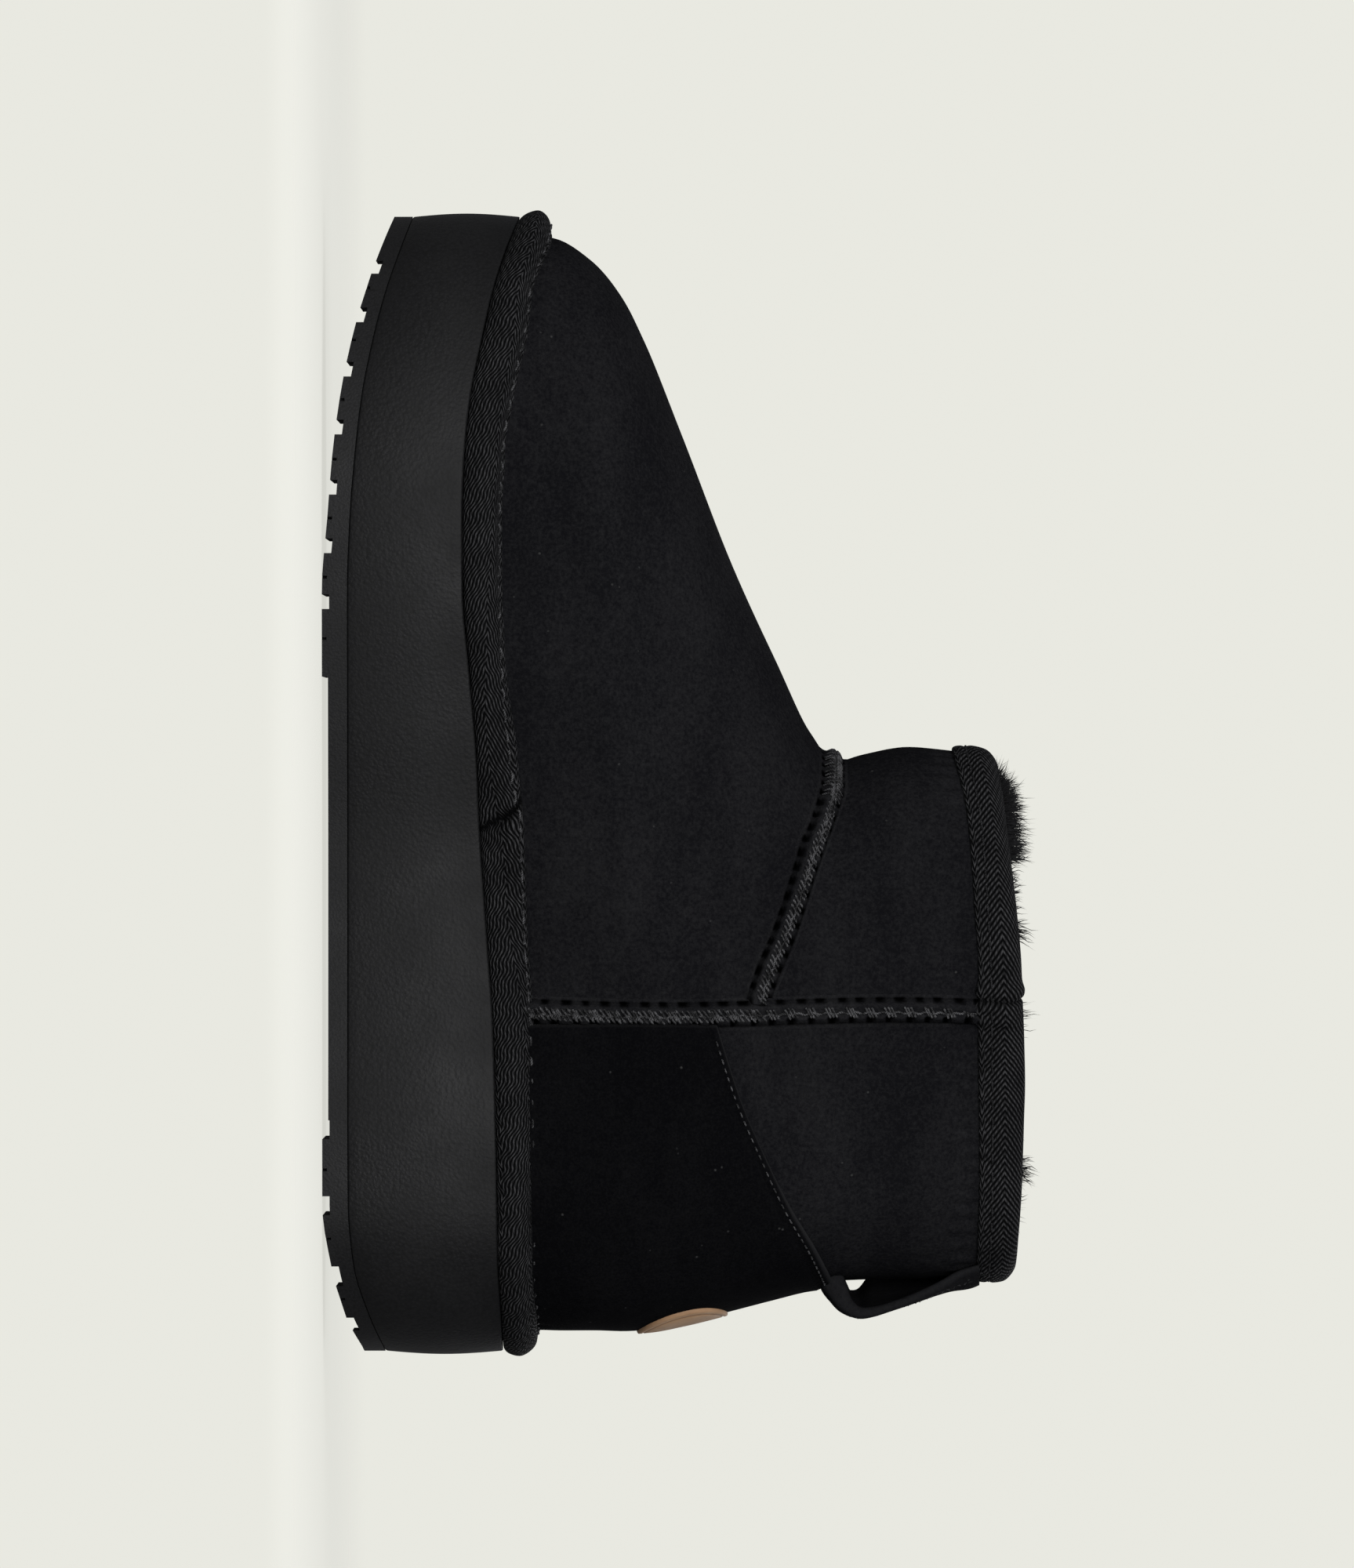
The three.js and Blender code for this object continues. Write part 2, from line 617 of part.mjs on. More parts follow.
// Herringbone tape folded over the edge where upper and platform meet.
function makeWeltBinding() {
  const section = (turn) => {
    const outward = planPoint(turn, 0).sub(planPoint(turn, 1)).normalize();
    const bulge = WELT_BULGE.map(({ inset, share, cover }) => {
      const point = planPoint(turn, inset);
      const suede = upper(turn, share, cover);
      const short = new THREE.Vector2(suede.x, suede.y).sub(point).dot(outward);
      point.addScaledVector(outward, Math.max(short, 0));
      const low = topAt(point.x) + GAP;
      return new THREE.Vector3(point.x, point.y, low + share * (tapeAt(point.x) - low));
    });
    const onUpper = [0, 0.5, 1].map((level) => upper(turn, level, GAP));
    return [...onUpper, upper(turn, 1, TAPE_THICK), ...bulge];
  };
  const sections = Array.from({ length: WELT_STEPS }, (_, i) => section(i / WELT_STEPS));
  return band(sections[0].map((_, k) => sections.map((points) => points[k])));
}

// The same tape folded over the upper's top edge.
function makeCollarBinding() {
  const section = (turn) => {
    const rim = upper(turn, TOP_LEVEL, 0);
    const low = levelAt(turn, collarEdgeAt(rim.x));
    const high = (low + TOP_LEVEL) / 2;
    const over = (out, rise) => {
      const point = upper(turn, TOP_LEVEL, out);
      return point.setZ(point.z + rise);
    };
    const inside = TOP_LEVEL - TAPE_INSIDE;
    return [
      upper(turn, low, GAP),
      upper(turn, low, GAP + TAPE_THICK),
      upper(turn, high, GAP + TAPE_THICK + COLLAR_BOW),
      ...COLLAR_ROLL.map(({ out, rise }) => over(out, rise)),
      upper(turn, inside, -wallAt(inside) - GAP - TAPE_THICK),
      upper(turn, inside, -wallAt(inside) - GAP),
      over(-RIM_WALL - GAP, GAP),
      over(GAP, GAP),
    ];
  };
  const sections = turns.map(section);
  return band(sections[0].map((_, k) => sections.map((points) => points[k])));
}

// Smooth suede over the back of the heel, from one side seam to the other.
function makeHeelCounter() {
  const rows = 8;
  const columns = 26;
  const grid = (out) =>
    Array.from({ length: columns + 1 }, (_, c) => {
      const side = c <= columns / 2 ? "outer" : "inner";
      const share = Math.abs(c / columns - 0.5) * 2;
      return Array.from({ length: rows + 1 }, (_, r) => {
        const frontLow = tapeAt(COUNTER_FRONT_X) + GAP;
        const frontHigh = counterEdgeAt(COUNTER_FRONT_X);
        const frontZ = frontLow + ((frontHigh - frontLow) * r) / rows;
        const edge = turnAt(COUNTER_FRONT_X, frontZ, side);
        const turn = side === "inner" ? edge * share : 1 - (1 - edge) * share;
        let level = 0;
        for (let pass = 0; pass < 4; pass++) {
          const x = skin(turn, level).x;
          const low = tapeAt(x) + GAP;
          const z = low + ((counterEdgeAt(x) - low) * r) / rows;
          level = levelAt(turn, z);
        }
        return upper(turn, level, out);
      });
    });
  return sheet(grid(GAP + COUNTER_THICK), grid(GAP));
}

// Blank patch on the counter, at the back of the heel.
function makeHeelBadge() {
  const rows = 6;
  const columns = 10;
  const fullness = 2.6; // 2 would be an ellipse, and more is squarer
  const lastRow = 0.95; // the oval is cut off flat this share of the way from its middle to its end
  const middleY = skin(0, levelAt(0, BADGE_CENTRE_Z)).y;
  const sideY = (turn) => skin(turn, levelAt(turn, BADGE_CENTRE_Z)).y - middleY;
  let widest = 0;
  while (sideY(widest) < BADGE_WIDTH / 2) widest += 1e-3;
  const grid = (out) =>
    Array.from({ length: rows + 1 }, (_, r) => {
      const height = lastRow * ((2 * r) / rows - 1);
      const z = BADGE_CENTRE_Z + ((height / lastRow) * BADGE_HEIGHT) / 2;
      const narrowing = (1 - Math.abs(height) ** fullness) ** (1 / fullness);
      return Array.from({ length: columns + 1 }, (_, c) => {
        const turn = widest * narrowing * ((2 * c) / columns - 1);
        return upper(turn, levelAt(turn, z), out);
      });
    });
  const base = COUNTER_THICK + 2.2 * GAP;
  return sheet(grid(base + BADGE_THICK), grid(base));
}

// A raised seam: at each place the section spans two points of the skin and stands up from it.
function raisedSeam(places) {
  const height = SEAM_HEIGHT - SEAM_GAP;
  return bar(
    places.map(({ left, right, normal }) =>
      SEAM_SECTION.map(({ across, up }) =>
        left.clone().lerp(right, across).add(normal.clone().multiplyScalar(up * height)),
      ),
    ),
  );
}

function makeSideSeam(side) {
  const count = 22;
  const places = Array.from({ length: count + 1 }, (_, i) => {
    const low = tapeAt(SIDE_SEAM_X) + SEAM_ABOVE_WELT;
    const high = collarEdgeAt(SIDE_SEAM_X) - SEAM_BELOW_COLLAR;
    const z = low + ((high - low) * i) / count;
    const at = (x) => {
      const turn = turnAt(x, z, side);
      return upper(turn, levelAt(turn, z), SEAM_GAP);
    };
    const middle = turnAt(SIDE_SEAM_X, z, side);
    const normal = skinNormal(middle, levelAt(middle, z));
    return {
      left: at(SIDE_SEAM_X - SEAM_WIDTH / 2),
      right: at(SIDE_SEAM_X + SEAM_WIDTH / 2),
      normal,
    };
  });
  return raisedSeam(places);
}

function makeThroatSeam() {
  const half = 24;
  const clear = SIDE_SEAM_X + SEAM_WIDTH / 2 + SEAM_APART;
  const margin = 0.02; // keeps the search for a place off the very front
  const crowding = 0.8; // below 1, places lie closer together at the front, where the seam bends
  const turning = 20; // over this length of its front, up to x 0, the seam's width turns level
  const places = Array.from({ length: 2 * half + 1 }, (_, i) => {
    const share = 1 - Math.abs(i - half) / half;
    const side = i <= half ? "inner" : "outer";
    const onward = Math.sin((share * Math.PI) / 2) ** crowding;
    const x = clear + (THROAT_FRONT_X - clear) * onward;
    const z = throatAt(Math.min(x, THROAT[THROAT.length - 1].x));
    const turn = share === 1 ? 0.5 : turnAt(Math.min(x, THROAT_FRONT_X - margin), z, side);
    const upright = Math.min(Math.max(-x / turning, 0), 1);
    const at = (dz) => {
      const above = upright > 0 ? turnAt(x, z + dz, side) : turn;
      const place = turn + (above - turn) * upright;
      return upper(place, levelAt(place, z + dz), SEAM_GAP);
    };
    return {
      left: at(-SEAM_WIDTH / 2),
      right: at(SEAM_WIDTH / 2),
      normal: skinNormal(turn, levelAt(turn, z)),
    };
  });
  return raisedSeam(places);
}

// Folded strap, fixed below at the counter's edge and above under the collar binding.
function makePullLoop() {
  const columns = 6;
  const middle = through(LOOP, "z", "standOff");
  const path = LOOP.map((row, i) => {
    const before = LOOP[Math.max(i - 1, 0)];
    const after = LOOP[Math.min(i + 1, LOOP.length - 1)];
    const tangent = new THREE.Vector2(middle(after.z) - middle(before.z), after.z - before.z);
    tangent.normalize();
    return { ...row, facing: new THREE.Vector2(tangent.y, -tangent.x) };
  });
  const grid = (out) =>
    path.map(({ z, standOff, facing }) =>
      Array.from({ length: columns + 1 }, (_, c) => {
        const y = LOOP_CENTRE_Y + LOOP_WIDTH * (c / columns - 0.5);
        const back = heelX(y, z);
        return new THREE.Vector3(back - standOff - facing.x * out, y, z + facing.y * out);
      }),
    );
  return sheet(grid(LOOP_THICK / 2), grid(-LOOP_THICK / 2));
}

// ---------------------------------------------------------------------------
// The boot

const FINISH = {
  outsole: { color: "#202022", roughness: 0.62, metalness: 0 },
  midsole: { color: "#29292b", roughness: 0.7, metalness: 0 },
  tape: { color: "#1c1c1e", roughness: 0.85, metalness: 0 },
  suede: { color: "#19191b", roughness: 0.95, metalness: 0 },
  smoothSuede: { color: "#0f0f11", roughness: 0.9, metalness: 0 },
  fur: { color: "#0c0c0d", roughness: 1, metalness: 0 },
  thread: { color: "#262628", roughness: 0.6, metalness: 0 },
  badge: { color: "#9a8063", roughness: 0.7, metalness: 0 },
};

const PIECES = [
  { name: "outsole", finish: "outsole", make: makeOutsole },
  { name: "midsole", finish: "midsole", make: makeMidsole },
  { name: "welt_binding", finish: "tape", make: makeWeltBinding },
  { name: "upper", finish: "suede", make: makeUpper },
  { name: "insole", finish: "fur", make: makeInsole },
  { name: "heel_counter", finish: "smoothSuede", make: makeHeelCounter },
  { name: "heel_badge", finish: "badge", make: makeHeelBadge },
  { name: "side_seam_inner", finish: "thread", make: () => makeSideSeam("inner") },
  { name: "side_seam_outer", finish: "thread", make: () => makeSideSeam("outer") },
  { name: "throat_seam", finish: "thread", make: makeThroatSeam },
  { name: "collar_binding", finish: "tape", make: makeCollarBinding },
  { name: "pull_loop", finish: "smoothSuede", make: makePullLoop },
];

const boot = new THREE.Group();
boot.name = "sheepskin_ankle_boot";
PIECES.forEach(({ name, finish, make }) => {
  const mesh = new THREE.Mesh(make(), new THREE.MeshStandardMaterial(FINISH[finish]));
  mesh.name = name;
  boot.add(mesh);
});

export default boot;
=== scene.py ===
import bpy
import numpy as np
from mathutils import Matrix


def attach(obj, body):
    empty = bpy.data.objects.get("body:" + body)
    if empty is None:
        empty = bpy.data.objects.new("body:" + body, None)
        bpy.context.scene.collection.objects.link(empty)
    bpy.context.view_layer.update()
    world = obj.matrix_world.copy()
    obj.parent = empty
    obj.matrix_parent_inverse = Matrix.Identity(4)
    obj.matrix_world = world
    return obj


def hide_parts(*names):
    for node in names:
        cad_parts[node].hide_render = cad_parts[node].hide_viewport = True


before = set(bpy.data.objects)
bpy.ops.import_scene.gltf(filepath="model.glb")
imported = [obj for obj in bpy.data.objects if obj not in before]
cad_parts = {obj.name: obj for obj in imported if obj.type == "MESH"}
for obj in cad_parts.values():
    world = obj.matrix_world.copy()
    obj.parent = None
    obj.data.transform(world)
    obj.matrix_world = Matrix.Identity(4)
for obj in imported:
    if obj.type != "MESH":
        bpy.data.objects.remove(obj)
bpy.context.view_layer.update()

# ---------------------------------------------------------------------------
# Camera, lights and floor. The camera looks level at the boot's inner side and is rolled so that
# the toe points up. Broad soft lamps stand on the camera's side, and the floor is plain and pale.
MM = 0.001
CAMERA_AWAY = 8.0
CAMERA_HEIGHT = 0.0826
VIEW_TALL = 0.3669
LONG_SENSOR = 36.0

lens = bpy.data.cameras.new("camera")
lens.sensor_width = LONG_SENSOR
lens.lens = LONG_SENSOR * CAMERA_AWAY / VIEW_TALL
lens.clip_start = 0.05
lens.clip_end = 40
camera = bpy.data.objects.new("camera", lens)
bpy.context.scene.collection.objects.link(camera)
camera.matrix_world = Matrix(
    ((0, 1, 0, 0), (0, 0, 1, CAMERA_AWAY), (1, 0, 0, CAMERA_HEIGHT), (0, 0, 0, 1))
)
bpy.context.scene.camera = camera
bpy.context.scene.view_settings.view_transform = "Standard"


def soft_lamp(name, spot, width, watts):
    """A square lamp that faces the middle of the boot."""
    lamp = bpy.data.lights.new(name, "AREA")
    lamp.shape = "SQUARE"
    lamp.size = width
    lamp.energy = watts
    stand = bpy.data.objects.new(name, lamp)
    bpy.context.scene.collection.objects.link(stand)
    stand.location = spot
    toward = camera.location * 0
    toward.z = CAMERA_HEIGHT
    stand.rotation_mode = "QUATERNION"
    stand.rotation_quaternion = (toward - stand.location).to_track_quat("-Z", "Y")


LAMPS = {
    "name": ["lamp_front", "lamp_toe", "lamp_above", "lamp_far"],
    "spot": [(0.1, 1.6, 0.6), (1.3, 0.9, 0.8), (-0.2, 0.1, 1.7), (-0.6, -1.5, 0.8)],
    "width": [1.1, 0.9, 1.1, 1.2],
    "watts": [26, 5, 5, 5],
}
for name, spot, width, watts in zip(*LAMPS.values()):
    soft_lamp(name, spot, width, watts)


def fill(tree, socket, value):
    if isinstance(value, bpy.types.NodeSocket):
        tree.links.new(value, socket)
    else:
        socket.default_value = value


def place(tree, kind, **sockets):
    """Adds a shader node and sets or links its sockets by name."""
    made = tree.nodes.new("ShaderNode" + kind)
    for label, value in sockets.items():
        fill(tree, made.inputs[label.replace("_", " ")], value)
    return made


def tint(tree, share, first, second):
    """The first colour where share is 0 and the second where it is 1."""
    made = tree.nodes.new("ShaderNodeMix")
    made.data_type = "RGBA"
    fill(tree, made.inputs[0], share)
    fill(tree, made.inputs[6], first)
    fill(tree, made.inputs[7], second)
    return made.outputs[2]


PALE = (0.813, 0.813, 0.753, 1)
AIR_COLOUR = (0.9, 0.92, 1, 1)
AIR_STRENGTH = 0.16
studio = bpy.data.worlds.new("studio")
bpy.context.scene.world = studio
studio.use_nodes = True
air = studio.node_tree
seen = place(air, "Background", Color=PALE)
dim = place(air, "Background", Color=AIR_COLOUR, Strength=AIR_STRENGTH)
ray = place(air, "LightPath")
either = place(air, "MixShader")
for i, output in enumerate((ray.outputs["Is Camera Ray"], dim.outputs[0], seen.outputs[0])):
    air.links.new(output, either.inputs[i])
air.links.new(either.outputs[0], air.nodes["World Output"].inputs["Surface"])

FLOOR_REACH = 1.6
FLOOR_GLOW = 0.795
FADE_FROM = 0.25
FADE_TO = 1.2
floor_mesh = bpy.data.meshes.new("floor")
floor_mesh.from_pydata(
    [(x * FLOOR_REACH, y * FLOOR_REACH, 0) for x, y in ((-1, -1), (1, -1), (1, 1), (-1, 1))],
    [],
    [(0, 1, 2, 3)],
)
floor = bpy.data.objects.new("floor", floor_mesh)
bpy.context.scene.collection.objects.link(floor)
paper = bpy.data.materials.new("floor_paper")
paper.use_nodes = True
sheet_of_paper = paper.node_tree
body = sheet_of_paper.nodes["Principled BSDF"]
body.inputs["Base Color"].default_value = (0.2, 0.2, 0.19, 1)
body.inputs["Roughness"].default_value = 1
body.inputs["Specular IOR Level"].default_value = 0
body.inputs["Emission Strength"].default_value = FLOOR_GLOW
looked_at = place(sheet_of_paper, "LightPath").outputs["Is Camera Ray"]
glow = tint(sheet_of_paper, looked_at, (0.12, 0.12, 0.12, 1), PALE)
sheet_of_paper.links.new(glow, body.inputs["Emission Color"])
place_on_floor = place(sheet_of_paper, "TexCoord")
away = place(sheet_of_paper, "VectorMath")
away.operation = "LENGTH"
sheet_of_paper.links.new(place_on_floor.outputs["Object"], away.inputs[0])
fade = place(sheet_of_paper, "MapRange", Value=away.outputs["Value"], From_Min=FADE_FROM,
             From_Max=FADE_TO, To_Min=1, To_Max=0)
fade.interpolation_type = "SMOOTHSTEP"
sheet_of_paper.links.new(fade.outputs["Result"], body.inputs["Alpha"])
floor.data.materials.append(paper)

# ---------------------------------------------------------------------------
# Outsole: black rubber, moulded in one piece with its lugs and glued under the platform. Grooves
# run across under the ball and the heel, a channel runs along the middle, and ribs cross the arch.
LENGTH = 268
SOLE_INSET = 1.4
CENTRE_AT_HEEL = 0.8
CENTRE_AT_TOE = 8
GAP = 0.35
SEAT = 0.03
LUG_DEPTH = 1.7
CHANNEL_WIDTH = 7
SIPE_WIDTH = 0.7
SIPE_DEPTH = 1.1
SIPE_ZIGZAG = 0.9
RIB_HALF = 0.9
RIB_DEPTH = 0.6
RIB_PITCH = 8.0
ARCH_LIFT = 1.4
ARCH_BACK = -80.5
ARCH_FRONT = 25
END_X = 150
PLAN = {
    "angle": [0, 23, 37, 50, 69, 83, 96, 109, 125, 149, 180],
    "inner": [84, 72.5, 64, 53, 41.5, 38.5, 43, 49.5, 57.5, 65, 69],
    "outer": [86, 72.5, 64, 59.5, 54.5, 55, 57.5, 62.5, 65.5, 69.5, 73],
}
SOLE = {
    "x": [-134, -124, -112, -98, -78, -55, -36, -11, 7, 25, 45, 62, 76, 90, 103, 115, 125, 134],
    "tread": [10.5, 5.3, 2, 0, 0, 0, 0, 0, 0, 0, 0, 1.3, 2.4, 4.2, 6.8, 10.1, 13.6, 17.2],
    "joint": [15, 10.6, 7, 5.8, 5.7, 5.7, 5.7, 5.7, 5.7, 5.7, 5.7, 6.3, 7.4, 9, 11.5, 14.6, 18, 21.3],
    "top": [42, 41.5, 40.8, 40.6, 40.3, 39.6, 38.3, 36.6, 35.8, 34.3, 32.7, 32.6, 33.1, 34.5, 37,
            39.7, 42.8, 46.6],
    "tape": [50.6, 50, 49, 49, 49, 48.5, 47.3, 46.4, 44.9, 42.6, 41.4, 41.3, 41.9, 43.9, 46.9,
             48.6, 52.2, 54.4],
}
GROOVES = {
    "x": [-126, -114.7, -98.2, 42.4, 55.4, 69, 83, 96.5, 109.2, 120.4],
    "width": [3, 4.6, 4.4, 3.4, 3.4, 3.4, 3.4, 3.4, 3.4, 3],
}


def even_slope(a, b):
    """A slope between two slopes, level where they turn, so that a curve never overshoots."""
    same_way = a * b > 0
    return np.where(same_way, 2 * a * b / np.where(same_way, a + b, 1), 0)


def run_between(from_y, from_slope, to_y, to_slope, u):
    """The smooth run from one value to the next, with the slope at each end."""
    return (
        from_y * (2 * u**3 - 3 * u**2 + 1)
        + from_slope * (u**3 - 2 * u**2 + u)
        + to_y * (3 * u**2 - 2 * u**3)
        + to_slope * (u**3 - u**2)
    )


def curve_through(xs, ys):
    """A smooth function through a table's columns that never overshoots between its rows."""
    xs, ys = np.array(xs, float), np.array(ys, float)
    steps = np.diff(ys) / np.diff(xs)
    slopes = even_slope(np.r_[steps[:1], steps], np.r_[steps, steps[-1:]])

    def curve(x):
        x = np.clip(x, xs[0], xs[-1])
        i = np.clip(np.searchsorted(xs, x) - 1, 0, len(xs) - 2)
        h = xs[i + 1] - xs[i]
        return run_between(ys[i], slopes[i] * h, ys[i + 1], slopes[i + 1] * h, (x - xs[i]) / h)

    return curve


tread_at = curve_through(SOLE["x"], SOLE["tread"])
joint_at = curve_through(SOLE["x"], SOLE["joint"])
top_at = curve_through(SOLE["x"], SOLE["top"])
tape_at = curve_through(SOLE["x"], SOLE["tape"])
inner_breadth = curve_through(PLAN["angle"], PLAN["inner"])
outer_breadth = curve_through(PLAN["angle"], PLAN["outer"])


def sole_outline(turn, inset):
    """Points of the outline from above. Turn 0 to 1 goes round from the heel by the inner side."""

    def at_edge(t):
        share = (1 - np.cos(2 * np.pi * t)) / 2
        sine = np.sin(2 * np.pi * t)
        angle = np.degrees(np.arccos(np.clip(1 - 2 * share, -1, 1)))
        breadth = np.where(sine >= 0, inner_breadth(angle), outer_breadth(angle))
        centre = CENTRE_AT_HEEL + (CENTRE_AT_TOE - CENTRE_AT_HEEL) * share
        return np.stack([LENGTH * (share - 0.5), centre + sine * breadth], -1)

    ahead = at_edge(turn + 1e-3) - at_edge(turn - 1e-3)
    ahead /= np.linalg.norm(ahead, axis=-1, keepdims=True)
    inward = np.stack([ahead[..., 1], -ahead[..., 0]], -1)
    return at_edge(turn) + np.asarray(inset)[..., None] * inward


def grid_faces(rows, columns):
    """Four-cornered faces over a grid of points, row by row."""
    r, c = np.meshgrid(np.arange(rows - 1), np.arange(columns - 1), indexing="ij")
    at = r * columns + c
    return np.stack([at, at + columns, at + columns + 1, at + 1], -1).reshape(-1, 4)


def make_mesh(name, points, faces, marks=None, across_along=None):
    """A mesh from points in millimetres and lists of faces. Marks are one number a point, and
    across_along is each point's place on a tape or thread, in millimetres."""
    mesh = bpy.data.meshes.new(name)
    mesh.vertices.add(len(points))
    mesh.vertices.foreach_set("co", (np.asarray(points, float) * MM).ravel())
    corners = np.concatenate([np.asarray(f).ravel() for f in faces])
    sizes = np.concatenate([np.full(len(f), np.shape(f)[1]) for f in faces])
    mesh.loops.add(len(corners))
    mesh.loops.foreach_set("vertex_index", corners)
    mesh.polygons.add(len(sizes))
    mesh.polygons.foreach_set("loop_start", np.r_[0, np.cumsum(sizes)[:-1]])
    mesh.polygons.foreach_set("use_smooth", np.ones(len(sizes), bool))
    mesh.update(calc_edges=True)
    for mark, values in (marks or {}).items():
        layer = mesh.attributes.new(mark, "FLOAT", "POINT")
        layer.data.foreach_set("value", np.asarray(values, np.float32).ravel())
    if across_along is not None:
        layer = mesh.uv_layers.new(name="across_along")
        layer.data.foreach_set("uv", np.asarray(across_along, float)[corners].ravel())
    return mesh


def add_piece(name, mesh, material, replaced=()):
    """Puts a mesh on the boot with its finish, in place of the named plain solids."""
    piece = bpy.data.objects.new(name, mesh)
    bpy.context.scene.collection.objects.link(piece)
    mesh.materials.append(material)
    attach(piece, "root")
    if replaced:
        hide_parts(*replaced)
    return piece


def block_between(name, first, second, turned=False):
    """A plain object between two like outlines in space; turned swaps the way its faces look."""
    count = len(first)
    i = np.arange(count)
    j = (i + 1) % count
    faces = [np.stack([i, j, j + count, i + count], -1), i[None, ::-1], i[None] + count]
    if turned:
        faces = [faces[0][:, [0, 3, 2, 1]], i[None], i[None, ::-1] + count]
    block = bpy.data.objects.new(name, make_mesh(name, np.concatenate([first, second]), faces))
    bpy.context.scene.collection.objects.link(block)
    return block


def upright_block(name, outline, bottom, top):
    """A block with this outline from above, from one height to another."""
    ends = [np.column_stack([outline, np.full(len(outline), z)]) for z in (bottom, top)]
    return block_between(name, *ends)


def carve(block, tool, operation):
    """Cuts a block with another, keeps the result and takes the tool away."""
    cut = block.modifiers.new("cut", "BOOLEAN")
    cut.operation = operation
    cut.solver = "MANIFOLD"
    cut.object = tool
    bpy.context.view_layer.update()
    graph = bpy.context.evaluated_depsgraph_get()
    block.data = bpy.data.meshes.new_from_object(block.evaluated_get(graph))
    block.modifiers.clear()
    bpy.data.objects.remove(tool)


def side_block(name, side, half_width):
    """A block with this outline from the side, across the whole boot."""
    ends = [np.column_stack([side[:, 0], np.full(len(side), y), side[:, 1]])
            for y in (-half_width, half_width)]
    return block_between(name, *ends, turned=True)


def tread_side():
    """Underside from heel to toe, and back along the joint with the platform."""
    stops = [(x - w / 2, x + w / 2, None) for x, w in zip(GROOVES["x"], GROOVES["width"])]
    stops += [(ARCH_BACK - 2.2, ARCH_BACK + 2.2, None), (ARCH_BACK + 2.2, ARCH_FRONT, ARCH_LIFT)]
    under = []
    x = -END_X
    for start, stop, height in sorted(stops):
        run = np.linspace(x, start, max(2, int((start - x) / 3)))
        under += list(zip(run, tread_at(run)))
        cut = np.linspace(start, stop, 3)
        under += list(zip(cut, tread_at(cut) + LUG_DEPTH if height is None else cut * 0 + height))
        x = stop
    run = np.linspace(x, END_X, 12)
    under += list(zip(run, tread_at(run)))
    back = np.linspace(END_X, -END_X, 100)
    return np.array(under + list(zip(back, joint_at(back) + GAP / 2 - SEAT)))


def strip(xs, half, from_y, to_y):
    """Outline of a narrow strip that runs across, with its middle line at xs."""
    ys = np.linspace(from_y, to_y, len(xs))
    line = np.column_stack([xs, ys])
    return np.concatenate([line + (half, 0), line[::-1] - (half, 0)])


around = np.linspace(0, 1, 420, endpoint=False)
sole_block = upright_block("outsole", sole_outline(around, SOLE_INSET)[::-1], -5, 60)
carve(sole_block, side_block("tread", tread_side(), 90), "INTERSECT")
for start, stop, middle in ((-124, ARCH_BACK, 1.5), (ARCH_FRONT, 116, 2)):
    run = np.linspace(start, stop, 24)
    side = np.concatenate(
        [np.column_stack([run, tread_at(run) - 3]),
         np.column_stack([run, tread_at(run) + LUG_DEPTH])[::-1]]
    )
    channel = side_block("channel", side, CHANNEL_WIDTH / 2)
    channel.data.transform(Matrix.Translation((0, middle * MM, 0)))
    carve(sole_block, channel, "DIFFERENCE")
LUG_MIDDLES = [-120.5, -106.5, -89.5, 34, 48.9, 62.2, 76, 89.8, 102.9, 114.8]
for x in LUG_MIDDLES:
    for near, far in ((7.5, 60), (-60, -3.5)):
        zigzag = x + SIPE_ZIGZAG * np.where(np.arange(13) % 2, 1, -1)
        cutter = upright_block(
            "sipe", strip(zigzag, SIPE_WIDTH / 2, near, far), tread_at(x) - 4, tread_at(x) + SIPE_DEPTH
        )
        carve(sole_block, cutter, "DIFFERENCE")
for x in np.arange(-68, 20, RIB_PITCH):
    rib = upright_block("rib", strip(np.full(2, x), RIB_HALF, -24, 27), -2, ARCH_LIFT + RIB_DEPTH)
    carve(sole_block, rib, "DIFFERENCE")


def reckon(tree, operation, *values):
    """A sum on numbers that change over the surface."""
    made = tree.nodes.new("ShaderNodeMath")
    made.operation = operation
    for i, value in enumerate(values):
        fill(tree, made.inputs[i], value)
    return made.outputs[0]


def spread(tree, value, low, high, to_low=0.0, to_high=1.0):
    """Stretches the part of a value between low and high."""
    made = place(
        tree, "MapRange", Value=value, From_Min=low, From_Max=high, To_Min=to_low, To_Max=to_high
    )
    return made.outputs[0]


def speckle(tree, where, size, detail=2.0, rough=0.5):
    """Cloudy noise whose patches are about this many millimetres."""
    made = place(
        tree, "TexNoise", Vector=where, Scale=1 / (size * MM), Detail=detail, Roughness=rough
    )
    return made.outputs[0]


def start_group(name, inputs, outputs):
    """A shader group with named inputs and outputs."""
    group = bpy.data.node_groups.new(name, "ShaderNodeTree")
    for label, kind, value in inputs:
        socket = group.interface.new_socket(label, in_out="INPUT", socket_type="NodeSocket" + kind)
        if value is not None:
            socket.default_value = value
    for label, kind in outputs:
        group.interface.new_socket(label, in_out="OUTPUT", socket_type="NodeSocket" + kind)
    into = group.nodes.new("NodeGroupInput")
    out = group.nodes.new("NodeGroupOutput")
    return group, into.outputs, out.inputs


def use_group(tree, group, **sockets):
    made = tree.nodes.new("ShaderNodeGroup")
    made.node_tree = group
    for label, value in sockets.items():
        fill(tree, made.inputs[label.replace("_", " ")], value)
    return made.outputs


